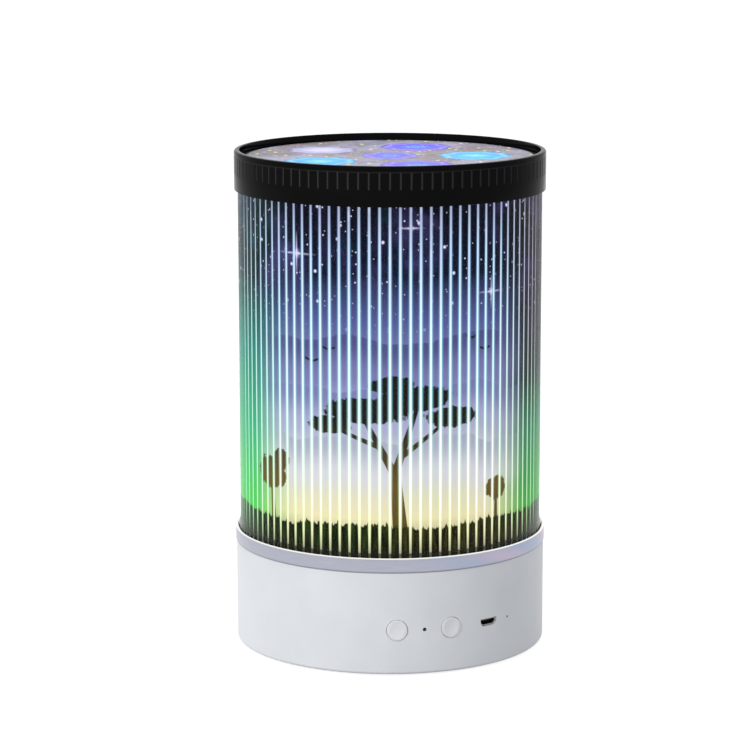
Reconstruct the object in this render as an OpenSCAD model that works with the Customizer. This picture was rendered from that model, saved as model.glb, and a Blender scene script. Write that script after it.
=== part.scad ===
// Motion lamp: a striped picture sleeve on a white base, with a lit drum that a geared motor turns inside it.
// Z is up and the rubber feet stand on Z = 0. The buttons and the charging socket face -Y.
// Angles of the controls are counted from -Y, and grow towards +X. Lengths are in millimetres.

/* [Sleeve] */
// Outer diameter of the clear sleeve
sleeve_d = 121.8; // [120:0.2:126]
// Wall of the clear sleeve
sleeve_wall = 0.8; // [0.6:0.1:1.2]
// Height of the sleeve that shows between the trim ring and the top ring
window_h = 135.1; // [110:0.1:150]
// Thickness of the picture film behind the sleeve
film_t = 0.3; // [0.2:0.05:0.5]
// Number of clear slits round the picture film
slit_count = 96; // [72:4:108]
// Width of one clear slit
slit_w = 0.85; // [0.6:0.05:1.2]
// Solid border at each end of the picture film
film_border = 2.0; // [1:0.1:3]

/* [Base shell] */
// Height of the white shell, from its lower edge to the trim ring
shell_h = 40.2; // [39.4:0.1:46]
// Wall of the white shell
shell_wall = 2.2; // [1.8:0.1:2.6]
// Radius that rounds the shell's lower edge
shell_edge_r = 1.2; // [0.4:0.1:1.6]
// How far the trim ring stands proud of the shell
shell_step = 0.3; // [0.1:0.05:0.5]
// Thickness of the deck that closes the shell's top
deck_t = 2.5; // [2:0.1:3]
// Diameter of the pillars that take the cover screws
pillar_d = 8; // [7:0.2:9]
// Distance of the cover screws from the lamp's axis
cover_screw_r = 50; // [49:0.2:51]

/* [Bottom cover and feet] */
// Thickness of the bottom cover
cover_t = 2.2; // [2:0.1:2.6]
// How deep the cover sits inside the shell's lower edge
cover_recess = 0.5; // [0.2:0.1:1]
// Diameter of a rubber foot
foot_d = 11; // [9:0.5:13]
// Thickness of a rubber foot
foot_t = 1.8; // [1.6:0.1:2.4]
// How far the feet stand out below the shell's lower edge
foot_proud = 0.8; // [0.5:0.1:1.1]
// Distance of the feet from the lamp's axis
foot_r = 43; // [40:0.5:45]

/* [Trim ring] */
// Height of the silver trim ring
trim_h = 6; // [5:0.1:8]
// Wall of the trim ring beside the sleeve
trim_lip = 0.95; // [0.8:0.05:1.3]
// Thickness of the floor that the sleeve stands on
trim_floor = 1.2; // [1:0.1:1.6]
// Diameter of the pegs below the trim ring
peg_d = 1.2; // [1:0.1:1.4]
// Length of the pegs below the trim ring
peg_len = 2.5; // [1.5:0.1:4]

/* [Top ring] */
// Height of the black top ring
ring_h = 15.4; // [14.5:0.1:20]
// Wall of the top ring where it covers the sleeve
ring_lip = 0.5; // [0.4:0.05:0.8]
// Width of the top ring's rim
ring_rim_w = 2.1; // [2:0.05:2.4]
// How far the sleeve reaches up into the top ring
ring_overlap = 7.9; // [6:0.1:8.4]
// Radius that rounds the rim's outer edge
rim_round = 0.9; // [0.4:0.1:1.2]
// Width of one moulded flute in the ring's side
flute_w = 0.8; // [0.5:0.05:1.2]
// Height of the flutes
flute_h = 6.7; // [4:0.1:7]
// Depth of the flutes
flute_depth = 0.25; // [0.15:0.05:0.3]
// Height of the flutes' lower end above the ring's lower edge
flute_rise = 6.4; // [4:0.1:6.8]

/* [Drum] */
// Gap between the picture film and the drum
drum_gap = 1.9; // [1.5:0.1:2.2]
// Thickness of the motion film round the drum
motion_film_t = 0.25; // [0.2:0.05:0.3]
// Wall of the diffuser tube
tube_wall = 1.0; // [0.8:0.1:1.2]
// Thickness of the star disc
disc_t = 1.2; // [0.8:0.1:1.6]
// How deep the star disc lies below the top ring's rim
disc_recess = 2.7; // [2:0.1:3.4]
// Thickness of the cap's ledge below the star disc
ledge_t = 1.5; // [1:0.1:2]
// Width of the ledge that carries the star disc
ledge_w = 2.5; // [1.5:0.1:4]
// Length of the cap's skirt round the diffuser tube
skirt_h = 8; // [5:0.1:8.4]

/* [Drive] */
// Wall between the ring gear's tooth roots and its track
gear_rim = 1.6375; // [1.5:0.0125:2.2]
// Teeth inside the ring gear
ring_teeth = 80; // [76:4:80]
// Teeth on the motor's pinion
pinion_teeth = 16; // [12:4:20]
// Width of the gear teeth along the axis
gear_width = 5.4; // [4:0.1:7]
// Play between the meshing teeth
backlash = 0.2; // [0.15:0.01:0.3]
// Diameter of a roller's tread
roller_d = 6; // [5.6:0.1:6.4]
// Width of a roller's tread
tread_w = 3.3; // [2.8:0.1:3.6]
// Height of a roller's flange above its tread
flange_h = 1.2; // [1:0.1:1.4]
// Thickness of a roller's flange
flange_w = 1.3; // [1:0.1:1.4]
// Diameter of the roller pins
pin_d = 1.6; // [1.4:0.1:1.8]
// Diameter of the gear motor's output shaft
shaft_d = 3; // [2.5:0.1:3.4]

/* [Controls] */
// Height of the controls above the shell's lower edge
control_h = 17.7; // [17:0.1:19]
// Diameter of a push button
button_d = 8; // [7:0.1:9]
// How far a button stands out of the shell
button_proud = 0.3; // [0.1:0.05:0.5]
// Travel of a button
button_travel = 0.4; // [0.2:0.05:0.45]
// Angle of the light button
light_button_a = -20; // [-21:0.5:-19.5]
// Angle of the motion button
motion_button_a = 0; // [-0.5:0.5:1]
// Angle of the status light's hole
status_a = -10; // [-10.5:0.5:-9.5]
// Diameter of the status light's hole
status_hole_d = 1.5; // [1:0.1:2]
// Angle of the charging socket
socket_a = 16; // [15.5:0.5:17]
// Angle of the charge light's hole
charge_a = 25.5; // [25.5:0.5:27]
// Diameter of the charge light's hole
charge_hole_d = 0.9; // [0.6:0.1:1.5]

/* [Light] */
// Height of the lamp post above the deck
post_h = 37; // [30:0.5:60]
// Diameter of the lamp post
post_d = 13; // [11:0.5:15]
// Diameter of the light board
light_board_d = 32; // [31.5:0.5:36]
// Outer diameter of the lens dome
dome_d = 23; // [22:0.5:23.5]

/* [Battery] */
// Diameter of the rechargeable cell
cell_d = 18.4; // [16:0.1:18.6]
// Length of the rechargeable cell
cell_l = 65; // [60:0.5:66]

/* [Hidden] */
$fn = 96;

// Clearances
film_gap = 0.1; // picture film inside the sleeve
seat_gap = 0.15; // sleeve inside the trim ring
ring_gap = 0.1; // sleeve inside the top ring
wrap_gap = 0.05; // motion film round the tube, and other glued fits
disc_gap = 0.1; // star disc in its seat
cap_gap = 0.8; // drum cap inside the top ring
cover_gap = 0.3; // bottom cover inside the shell
button_gap = 0.2; // button cap in its hole
run_gap = 0.2; // ring gear above the rollers
side_gap = 0.3; // roller flange beside the ring gear
pin_gap = 0.08; // roller on its pin
fit_gap = 0.02; // pin or shaft in the hole that holds it
screw_gap = 0.05; // screw thread in its pilot hole
cut = 1; // how far a cutter runs past the face that it opens

// Radii, from the sleeve outwards and inwards
sleeve_r = sleeve_d / 2;
sleeve_in_r = sleeve_r - sleeve_wall;
film_r = sleeve_in_r - film_gap;
film_in_r = film_r - film_t;
trim_in_r = sleeve_r + seat_gap;
trim_r = trim_in_r + trim_lip;
trim_floor_in_r = film_in_r - 0.5;
shell_r = trim_r - shell_step;
shell_in_r = shell_r - shell_wall;
ring_in_r = sleeve_r + ring_gap;
ring_r = ring_in_r + ring_lip;
ring_bore_r = ring_r - ring_rim_w;
drum_r = film_in_r - drum_gap;
tube_r = drum_r - motion_film_t - wrap_gap;
tube_in_r = tube_r - tube_wall;
cap_r = ring_bore_r - cap_gap;
cap_in_r = drum_r + 0.1;
disc_r = cap_in_r - 0.9;
disc_seat_r = disc_r + disc_gap;
ledge_in_r = disc_r - ledge_w;

// Heights
z_edge = foot_proud;
z_cover = z_edge + cover_recess;
z_cover_top = z_cover + cover_t;
z_deck = z_edge + shell_h;
z_under = z_deck - deck_t;
z_seat = z_deck + trim_floor;
z_window = z_deck + trim_h;
z_ring = z_window + window_h;
z_shoulder = z_ring + ring_overlap;
z_top = z_ring + ring_h;
z_disc_top = z_top - disc_recess;
z_disc = z_disc_top - disc_t;
z_ledge = z_disc - ledge_t;
z_control = z_edge + control_h;

// Drive
roller_r = roller_d / 2;
flange_r = roller_r + flange_h;
pin_r = pin_d / 2;
shaft_r = shaft_d / 2;
axle_rise = 1.2; // roller axle above the deck
z_axle = z_deck + axle_rise;
z_track = z_axle + roller_r + run_gap;
z_gear = z_track + flange_h + 0.4;
z_gear_top = z_gear + gear_width;
track_flange_t = 2.5;
z_tube = z_track + track_flange_t;
tread_out_r = drum_r - 1.6;
tread_in_r = tread_out_r - tread_w;
track_in_r = tread_in_r + side_gap;
roller_in_r = tread_in_r - flange_w;
cheek_t = 1.2;
cheek_gap = 0.2;
cheek_rise = 2; // cheek above the roller axle
cheek_w = 6;
pin_in_r = roller_in_r - cheek_gap - cheek_t - 0.2;
pin_out_r = tread_out_r + cheek_gap + cheek_t + 0.2;
roller_count = 3;
pressure_a = 20;
root_depth = 1.25; // depth of a tooth space below the pitch circle, in modules
gear_module = (track_in_r - gear_rim) / (ring_teeth / 2 + root_depth);
pitch_r = gear_module * ring_teeth / 2;
pinion_pitch_r = gear_module * pinion_teeth / 2;
motor_y = pitch_r - pinion_pitch_r;
play = backlash / 4; // at each side of a tooth or space
ring_tip_r = pitch_r - 0.8 * gear_module;
ring_root_r = pitch_r + root_depth * gear_module;
pinion_tip_r = pinion_pitch_r + 0.88 * gear_module;
pinion_root_r = pinion_pitch_r - root_depth * gear_module;
pinion_margin = 0.1; // pinion teeth inside the ring gear's width
hub_r = pinion_root_r - 1.6;
hub_h = 3;
motor_hole_r = shaft_r + 1.5;

// Gear motor
gearbox_size = [12, 10, 9];
can_d = 12;
can_h = 15;
can_flat = 10;
end_cap_h = 1.2;
motor_screw_x = 4.5;
terminal_w = 1.4;
terminal_t = 0.4;
terminal_h = 2.2;
z_gearbox = z_under - gearbox_size[2];
z_can = z_gearbox - can_h;
terminal_x = 2.6 + terminal_w / 2;
z_terminal = z_can - end_cap_h - terminal_h / 2;

// Controls
axis_over_board = 1.5;
board_t = 1.6;
z_board_top = z_control - axis_over_board;
z_board = z_board_top - board_t;
board_r = shell_in_r - 0.9;
board_half_w = 34;
board_back_y = -24;
button_r = button_d / 2;
button_hole_r = button_r + button_gap;
button_face_r = shell_r + button_proud;
button_flange_r = button_r + 1.4;
button_flange_t = 1.1;
// The flat flange stops just short of the shell's curved inner face.
button_flange_out = sqrt(shell_in_r * shell_in_r - button_flange_r * button_flange_r) - 0.15;
button_flange_in = button_flange_out - button_flange_t;
stem_r = 2;
stem_len = 2.4;
plunger_out = button_flange_in - stem_len;
plunger_len = 1.0;
switch_size = [6, 3.6, 3.5];
switch_face = plunger_out - plunger_len;
plunger_r = 1.1;
plunger_gap = 0.1;
plunger_in_body = 0.8;
well_depth = plunger_in_body + button_travel + 0.3;
dish_depth = 0.25;
dish_r = button_r - 0.8;
socket_w = 7.5;
socket_h = 2.6;
socket_wall = 0.3;
socket_len = 5.6;
socket_recess = 0.7; // socket's mouth behind the shell's face
socket_gap = 0.25;
drive_chip = [10, 4, 1.6];
drive_chip_at = [8, -40.5];
charge_chip = [5, 4, 1.5];
charge_chip_at = [-16, -41];
capacitor_r = 2.5;
capacitor_h = 5.5;
capacitor_at = [[20, -40], [-21, -33]];
led_size = [2.4, 3, 3];
led_lens_r = 0.6;
led_face_r = board_r - 1.2;
notch_w = 2 * button_flange_r + 1.2;

// Screws: thread radius, head radius, head height
cover_screw = [1.3, 2.4, 1.0];
small_screw = [1.0, 1.8, 1.0];
motor_screw = [0.8, 1.4, 0.8];
cover_screw_a = [-58, 58, 115, -115];
cover_screw_len = 9;
screw_sink = 1.2; // depth of the recess under a screw's head in the cover
pilot_extra = 2; // pilot hole past the screw's end
post_screw_len = 6;
board_post_d = 6;
board_post_at = [[-28, -31], [28, -31], [0, -41]];
board_screw_len = 6;
foot_a = [-45, 45, 135, -135];

// Lamp post and light board
post_r = post_d / 2;
post_bore_r = 3.5;
post_flange_r = 13;
post_flange_t = 3;
post_plate_t = 2.4;
post_screw_r = 9.8;
light_board_r = light_board_d / 2;
light_board_t = 1.6;
light_screw_r = light_board_r - 2.2;
light_screw_len = 5;
z_post = z_deck + post_h;
z_light = z_post + light_board_t;
dome_r = dome_d / 2;
dome_wall = 1;
emitter_w = 4.6;
emitter_h = 1.4;
emitter_ring_r = 6.3;
emitter_lens_r = 1.7;
emitter_count = 4;

// Battery
cell_r = cell_d / 2;
tray_wall = 1.6;
tray_gap = 0.2;
cell_y = 12.5;
contact_t = 0.6;
contact_w = 8;
tray_in_l = cell_l + 2 * contact_t + 2 * tray_gap;
tray_in_w = cell_d + 2 * tray_gap;
z_cell = z_cover_top + tray_wall + tray_gap + cell_r;
tray_h = tray_wall + tray_gap + cell_r + 2;
contact_x = cell_l / 2 + tray_gap / 2 + contact_t / 2;
contact_drop = 3; // contact's lower end below the cell's axis
z_contact = z_cell + cell_r + 0.8;
tray_ear = 5;
tray_ear_h = 4;
tray_screw_grip = 2.6; // screw's length in the tray's ear
lead_r = 0.6;

// Routes of the leads inside the base, from the lead sockets on the board to what they serve
socket_y = -27.5;
socket_pitch = 13.7;
pin_x = 1.5;
plug_w = 7;
plug_t = 5;
plug_h = 5;
z_plug = z_board_top + plug_h;
z_bend = z_plug + 4;
z_low = z_cell + cell_r + 3;
z_mid = z_low + 3.5;
z_high = z_mid + 2.2;
battery_route_a = [[-socket_pitch - pin_x, socket_y, z_plug], [-socket_pitch - pin_x, socket_y, z_bend],
    [-18, -14, z_low], [-28, 6, z_low], [-contact_x, cell_y, z_low - 1], [-contact_x, cell_y, z_contact]];
battery_route_b = [[-socket_pitch + pin_x, socket_y, z_plug], [-socket_pitch + pin_x, socket_y, z_bend],
    [-2, -17, z_low], [24, 0, z_low], [contact_x, cell_y, z_low - 1], [contact_x, cell_y, z_contact]];
light_route = [[1.2, socket_y, z_plug], [1.2, socket_y, z_bend], [1.2, -20, z_under - 6],
    [1.2, -9, z_under - 4.5], [1.2, -1.5, z_under - 3], [1.2, 0, z_deck + 3], [1.2, 0, z_deck + 20],
    [1.2, 0, z_post]];
motor_route_a = [[socket_pitch + pin_x, socket_y, z_plug], [socket_pitch + pin_x, socket_y, z_bend],
    [20, -14, z_mid], [18, 16, z_mid], [15, motor_y - 10, z_mid - 3], [11, motor_y - 3, z_can + 2],
    [terminal_x + 5, motor_y, z_terminal], [terminal_x, motor_y, z_terminal]];
motor_route_b = [[socket_pitch - pin_x, socket_y, z_plug], [socket_pitch - pin_x, socket_y, z_bend],
    [16, -14, z_high], [13, 14, z_high], [9, motor_y - 12, z_mid - 6], [2, motor_y - 9, z_can],
    [-8, motor_y - 6.5, z_terminal - 0.5],
    [-terminal_x - 5, motor_y, z_terminal], [-terminal_x, motor_y, z_terminal]];

// ---------- shared shapes ----------

// A tube standing on its end.
module tube(r_out, r_in, h) {
    rotate_extrude()
        translate([r_in, 0])
            square([r_out - r_in, h]);
}

// Turns children, which face -Y, to an angle on the side of the lamp.
module at_angle(a) {
    rotate([0, 0, a])
        children();
}

// A cylinder that points out of the lamp along -Y, between two distances from the axis.
module outward(r, from, to) {
    translate([0, -from, 0])
        rotate([90, 0, 0])
            cylinder(h = to - from, r = r);
}

// A box on the -Y side, between two distances from the axis, centred on X.
module radial_box(w, from, to, z0, z1) {
    translate([-w / 2, -to, z0])
        cube([w, to - from, z1 - z0]);
}

// A screw whose head lies below Z = 0 and whose thread points up.
module screw(s, len) {
    slot_w = 0.5;
    difference() {
        translate([0, 0, -s[2]])
            cylinder(h = s[2], r = s[1], $fn = 32);
        for (a = [0, 90])
            rotate([0, 0, a])
                translate([-s[1] * 0.6, -slot_w / 2, -s[2] - cut])
                    cube([s[1] * 1.2, slot_w, s[2] / 2 + cut]);
    }
    cylinder(h = len, r = s[0], $fn = 32);
}

// Points of the route through the given corners, as a smooth curve with n steps between corners.
function catmull(a, b, c, d, t) =
    0.5 * ((2 * b) + (c - a) * t + (2 * a - 5 * b + 4 * c - d) * t * t + (3 * b - a - 3 * c + d) * t * t * t);
function smooth_route(p, n) = concat(
    [for (i = [0:len(p) - 2], k = [0:n - 1])
        catmull(p[max(i - 1, 0)], p[i], p[i + 1], p[min(i + 2, len(p) - 1)], k / n)],
    [p[len(p) - 1]]);
function unit(v) = v / norm(v);
// Each ring's sideways direction, carried along the route so that the lead doesn't twist.
function carried(tangents, i) = i == 0
    ? unit(cross(tangents[0], [0.31, 0.95, 0.12]))
    : let (before = carried(tangents, i - 1)) unit(before - (before * tangents[i]) * tangents[i]);

// A round lead along a route. Its ends are square to the route's first and last leg.
module lead(route, r, n = 3, sides = 8) {
    path = smooth_route(route, n);
    last = len(path) - 1;
    legs = len(route) - 1;
    tangents = [for (i = [0:last]) i == 0 ? unit(route[1] - route[0])
        : i == last ? unit(route[legs] - route[legs - 1]) : unit(path[i + 1] - path[i - 1])];
    points = [for (i = [0:last]) let (u = carried(tangents, i), v = cross(tangents[i], u))
        for (k = [0:sides - 1]) path[i] + r * (cos(360 * k / sides) * u + sin(360 * k / sides) * v)];
    walls = [for (i = [0:last - 1], k = [0:sides - 1]) let (a = i * sides, b = a + sides, m = (k + 1) % sides)
        each [[a + k, b + k, b + m], [a + k, b + m, a + m]]];
    end = last * sides;
    caps = [for (k = [1:sides - 2]) each [[0, k, k + 1], [end, end + k + 1, end + k]]];
    polyhedron(points, concat(walls, caps));
}

// ---------- gears ----------

function involute(a) = tan(a) - a * PI / 180;
function flank_a(r, base_r) = r <= base_r ? 0 : acos(base_r / r);
// Half the angle that a tooth takes at radius r, where it takes half_a at its pitch circle.
function half_tooth(r, pitch, base_r, half_a) =
    half_a + (involute(pressure_a) - involute(flank_a(r, base_r))) * 180 / PI;

// Outline of a gear whose first tooth is centred on +X. Play is added to each side of a tooth.
function gear_outline(teeth, pitch, r_root, r_tip, play, steps = 5) =
    let (base_r = pitch * cos(pressure_a), half_a = 90 / teeth + play / pitch * 180 / PI,
        flank = [for (k = [0:steps]) let (r = r_root + (r_tip - r_root) * k / steps)
            [r, half_tooth(r, pitch, base_r, half_a)]])
    [for (t = [0:teeth - 1]) let (c = 360 * t / teeth) each concat(
        [for (f = flank) f[0] * [cos(c - f[1]), sin(c - f[1])]],
        [for (k = [steps:-1:0]) let (f = flank[k]) f[0] * [cos(c + f[1]), sin(c + f[1])]])];

// ---------- base ----------

module base_shell() {
    color([0.92, 0.93, 0.95])
        difference() {
            union() {
                shell_body();
                for (a = cover_screw_a)
                    at_angle(a)
                        translate([0, -cover_screw_r, z_cover_top])
                            cylinder(h = z_under - z_cover_top + cut / 2, d = pillar_d);
                for (p = board_post_at)
                    translate([p[0], p[1], z_board_top])
                        cylinder(h = z_under - z_board_top + cut / 2, d = board_post_d);
                for (i = [0:roller_count - 1])
                    at_angle(360 * i / roller_count)
                        roller_cheeks();
            }
            deck_cuts();
            control_cuts();
            for (a = cover_screw_a)
                at_angle(a)
                    translate([0, -cover_screw_r, z_cover_top - cut])
                        cylinder(h = cut + cover_screw_len + pilot_extra, r = cover_screw[0] + screw_gap);
            for (p = board_post_at)
                translate([p[0], p[1], z_board_top - cut])
                    cylinder(h = cut + board_screw_len + pilot_extra, r = small_screw[0] + screw_gap);
            peg_holes();
        }
}

// Wall, rounded lower edge and deck as one turned profile.
module shell_body() {
    rotate_extrude() {
        translate([shell_in_r, z_edge + shell_edge_r])
            square([shell_wall, shell_h - shell_edge_r]);
        translate([shell_in_r, z_edge])
            square([shell_wall - shell_edge_r, shell_edge_r + 0.01]);
        intersection() {
            translate([shell_r - shell_edge_r, z_edge + shell_edge_r])
                circle(r = shell_edge_r);
            translate([shell_r - shell_edge_r - 0.01, z_edge])
                square([shell_edge_r + 0.01, shell_edge_r + 0.01]);
        }
        translate([0, z_under])
            square([shell_in_r + 0.01, deck_t]);
    }
}

// Two ears that hold a roller's pin above the deck.
module roller_cheeks() {
    difference() {
        union() {
            radial_box(cheek_w, roller_in_r - cheek_gap - cheek_t, roller_in_r - cheek_gap,
                z_deck - 0.5, z_axle + cheek_rise);
            radial_box(cheek_w, tread_out_r + cheek_gap, tread_out_r + cheek_gap + cheek_t,
                z_deck - 0.5, z_axle + cheek_rise);
        }
        translate([0, 0, z_axle])
            outward(pin_r + fit_gap, roller_in_r - 4, drum_r + 2);
    }
}

module deck_cuts() {
    slot_w = 2 * flange_r + 0.8;
    for (i = [0:roller_count - 1])
        at_angle(360 * i / roller_count)
            radial_box(slot_w, roller_in_r - cheek_gap, tread_out_r + cheek_gap, z_under - cut, z_deck + cut);
    translate([0, motor_y, z_under - cut])
        cylinder(h = deck_t + 2 * cut, r = motor_hole_r);
    for (x = [-motor_screw_x, motor_screw_x])
        translate([x, motor_y, z_under - cut])
            cylinder(h = deck_t + 2 * cut, r = motor_screw[0] + 0.15);
    translate([0, 0, z_under - cut])
        cylinder(h = deck_t + 2 * cut, r = post_bore_r);
    for (a = [60, 180, 300])
        at_angle(a)
            translate([0, -post_screw_r, z_under - cut])
                cylinder(h = deck_t + 2 * cut, r = small_screw[0] + 0.2);
}

// Holes for the two buttons, the two lights and the charging socket.
module control_cuts() {
    translate([0, 0, z_control]) {
        for (a = [light_button_a, motion_button_a])
            at_angle(a)
                outward(button_hole_r, shell_in_r - 3, shell_r + cut);
        at_angle(status_a)
            outward(status_hole_d / 2, shell_in_r - 3, shell_r + cut);
        at_angle(charge_a)
            outward(charge_hole_d / 2, shell_in_r - 3, shell_r + cut);
    }
    at_angle(socket_a)
        translate([0, -shell_r - cut, z_board_top])
            rotate([90, 0, 180])
                linear_extrude(height = shell_wall + 3)
                    socket_outline(socket_gap);
}

module peg_holes() {
    at_pegs()
        translate([0, 0, z_deck - peg_len - 0.3])
            cylinder(h = peg_len + 0.3 + cut, r = peg_d / 2 + fit_gap);
}

module at_pegs() {
    for (a = [30:60:330])
        at_angle(a)
            translate([0, -(shell_r - shell_wall / 2), 0])
                children();
}

module bottom_cover() {
    color([0.9, 0.91, 0.93])
        difference() {
            translate([0, 0, z_cover])
                cylinder(h = cover_t, r = shell_in_r - cover_gap);
            for (a = cover_screw_a)
                at_angle(a)
                    translate([0, -cover_screw_r, z_cover - cut]) {
                        cylinder(h = cover_t + 2 * cut, r = cover_screw[0] + 0.2);
                        cylinder(h = cut + screw_sink, r = cover_screw[1] + 0.3);
                    }
            for (a = foot_a)
                at_angle(a)
                    translate([0, -foot_r, z_cover - cut])
                        cylinder(h = cut + foot_t - z_cover, r = foot_d / 2 + 0.1);
            for (x = [-1, 1])
                translate([x * tray_screw_x(), cell_y, z_cover - cut]) {
                    cylinder(h = cover_t + 2 * cut, r = small_screw[0] + 0.15);
                    cylinder(h = cut + 1.2, r = small_screw[1] + 0.3);
                }
        }
}

module rubber_feet() {
    color([0.25, 0.26, 0.27])
        for (a = foot_a)
            at_angle(a)
                translate([0, -foot_r, 0])
                    rotate_extrude() {
                        square([foot_d / 2 - 0.4, foot_t]);
                        translate([0, 0.4])
                            square([foot_d / 2, foot_t - 0.4]);
                    }
}

module cover_screws() {
    color([0.6, 0.6, 0.62])
        for (a = cover_screw_a)
            at_angle(a)
                translate([0, -cover_screw_r, z_cover + screw_sink])
                    screw(cover_screw, cover_screw_len + cover_t - screw_sink);
}

module trim_ring() {
    chamfer = 0.3;
    color([0.72, 0.73, 0.78]) {
        rotate_extrude()
            polygon([[trim_floor_in_r, z_deck], [trim_r - chamfer, z_deck], [trim_r, z_deck + chamfer],
                [trim_r, z_window - chamfer], [trim_r - chamfer, z_window], [trim_in_r, z_window],
                [trim_in_r, z_seat], [trim_floor_in_r, z_seat]]);
        at_pegs()
            translate([0, 0, z_deck - peg_len])
                cylinder(h = peg_len + trim_floor / 2, r = peg_d / 2);
    }
}

// ---------- sleeve and top ring ----------

module clear_sleeve() {
    color([0.8, 0.88, 0.95, 0.3])
        translate([0, 0, z_seat])
            tube(sleeve_r, sleeve_in_r, z_shoulder - z_seat);
}

// The printed picture, with a clear slit between every two bars.
module picture_film() {
    color([0.35, 0.3, 0.55])
        difference() {
            translate([0, 0, z_seat])
                tube(film_r, film_in_r, z_shoulder - z_seat);
            for (i = [0:slit_count - 1])
                at_angle(360 * i / slit_count)
                    radial_box(slit_w, film_in_r - cut, film_r + cut,
                        z_seat + film_border, z_shoulder - film_border);
        }
}

module top_ring() {
    color([0.05, 0.05, 0.06])
        difference() {
            rotate_extrude() {
                translate([ring_in_r, z_ring])
                    square([ring_lip, ring_h - rim_round]);
                translate([ring_bore_r, z_shoulder])
                    square([ring_rim_w - rim_round, z_top - z_shoulder]);
                translate([ring_bore_r, z_shoulder])
                    square([ring_rim_w, z_top - z_shoulder - rim_round]);
                intersection() {
                    translate([ring_r - rim_round, z_top - rim_round])
                        circle(r = rim_round);
                    translate([ring_r - rim_round - 0.01, z_top - rim_round - 0.01])
                        square(rim_round + 0.02);
                }
            }
            for (i = [0:slit_count - 1])
                at_angle(360 * i / slit_count)
                    radial_box(flute_w, ring_r - flute_depth, ring_r + cut,
                        z_ring + flute_rise, z_ring + flute_rise + flute_h);
        }
}

// ---------- controls ----------

// A round cap whose curved face follows the shell, with a shallow dish, a flange behind the wall and a stem.
module button_cap() {
    dish_ball_r = (dish_r * dish_r + dish_depth * dish_depth) / (2 * dish_depth);
    difference() {
        union() {
            intersection() {
                outward(button_r, button_flange_out - 0.01, button_face_r + 1);
                cylinder(h = 4 * button_d, r = button_face_r, center = true, $fn = 192);
            }
            outward(button_flange_r, button_flange_in, button_flange_out);
            outward(stem_r, plunger_out, button_flange_in + 0.01);
        }
        translate([0, -(button_face_r - dish_depth + dish_ball_r), 0])
            sphere(r = dish_ball_r);
    }
}

module light_button() {
    color([0.93, 0.94, 0.96])
        translate([0, 0, z_control])
            at_angle(light_button_a)
                button_cap();
}

module motion_button() {
    color([0.93, 0.94, 0.96])
        translate([0, 0, z_control])
            at_angle(motion_button_a)
                button_cap();
}

module plunger() {
    outward(plunger_r, switch_face - plunger_in_body, plunger_out);
}

module light_plunger() {
    color([0.15, 0.15, 0.16])
        translate([0, 0, z_control])
            at_angle(light_button_a)
                plunger();
}

module motion_plunger() {
    color([0.15, 0.15, 0.16])
        translate([0, 0, z_control])
            at_angle(motion_button_a)
                plunger();
}

// A side-push switch that stands on the board, with a well for its plunger.
module side_switch() {
    difference() {
        radial_box(switch_size[0], switch_face - switch_size[1], switch_face,
            z_board_top, z_board_top + switch_size[2]);
        translate([0, 0, z_control])
            outward(plunger_r + plunger_gap, switch_face - well_depth, switch_face + cut);
    }
}

module light_switch() {
    color([0.2, 0.2, 0.22])
        at_angle(light_button_a)
            side_switch();
}

module motion_switch() {
    color([0.2, 0.2, 0.22])
        at_angle(motion_button_a)
            side_switch();
}

// A small light with its lens turned to a hole in the shell.
module side_led() {
    radial_box(led_size[0], led_face_r - led_size[1], led_face_r, z_board_top, z_board_top + led_size[2]);
    translate([0, 0, z_control])
        outward(led_lens_r, led_face_r - 0.5, led_face_r + 0.8);
}

module status_led() {
    color([0.75, 0.85, 0.75])
        at_angle(status_a)
            side_led();
}

module charge_led() {
    color([0.85, 0.7, 0.7])
        at_angle(charge_a)
            side_led();
}

// Cross-section of the charging socket, standing on Y = 0, with its lower corners cut off, grown by g.
module socket_outline(g = 0) {
    half = socket_w / 2 + g;
    corner = 1.1;
    polygon([[-half + corner, -g], [half - corner, -g], [half, corner - g / 2], [half, socket_h + g],
        [-half, socket_h + g], [-half, corner - g / 2]]);
}

module usb_socket() {
    mouth_r = shell_r - socket_recess;
    color([0.78, 0.78, 0.8])
        at_angle(socket_a)
            translate([0, -mouth_r, z_board_top])
                rotate([90, 0, 180])
                    difference() {
                        linear_extrude(height = socket_len)
                            socket_outline();
                        translate([0, 0, -cut])
                            linear_extrude(height = socket_len - 1 + cut)
                                socket_outline(-socket_wall);
                    }
}

module usb_tongue() {
    mouth_r = shell_r - socket_recess;
    color([0.08, 0.08, 0.09])
        at_angle(socket_a)
            radial_box(3.8, mouth_r - socket_len + 1, mouth_r - 0.8,
                z_board_top + socket_h / 2 + 0.1, z_board_top + socket_h / 2 + 0.7);
}

// The board follows the shell's wall and is cut back behind the buttons.
module main_board() {
    color([0.1, 0.35, 0.2])
        difference() {
            intersection() {
                translate([0, 0, z_board])
                    cylinder(h = board_t, r = board_r);
                translate([-board_half_w, -2 * board_r, z_board])
                    cube([2 * board_half_w, 2 * board_r + board_back_y, board_t]);
            }
            for (a = [light_button_a, motion_button_a])
                at_angle(a)
                    radial_box(notch_w, switch_face, board_r + cut, z_board - cut, z_board_top + cut);
            for (p = board_post_at)
                translate([p[0], p[1], z_board - cut])
                    cylinder(h = board_t + 2 * cut, r = small_screw[0] + 0.2);
        }
}

module board_screws() {
    color([0.6, 0.6, 0.62])
        for (p = board_post_at)
            translate([p[0], p[1], z_board])
                screw(small_screw, board_t + board_screw_len);
}

module control_chips() {
    color([0.12, 0.12, 0.13]) {
        translate([drive_chip_at[0], drive_chip_at[1], z_board_top])
            cube(drive_chip);
        translate([charge_chip_at[0], charge_chip_at[1], z_board_top])
            cube(charge_chip);
        for (p = capacitor_at)
            translate([p[0], p[1], z_board_top])
                cylinder(h = capacitor_h, r = capacitor_r);
    }
}

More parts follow.
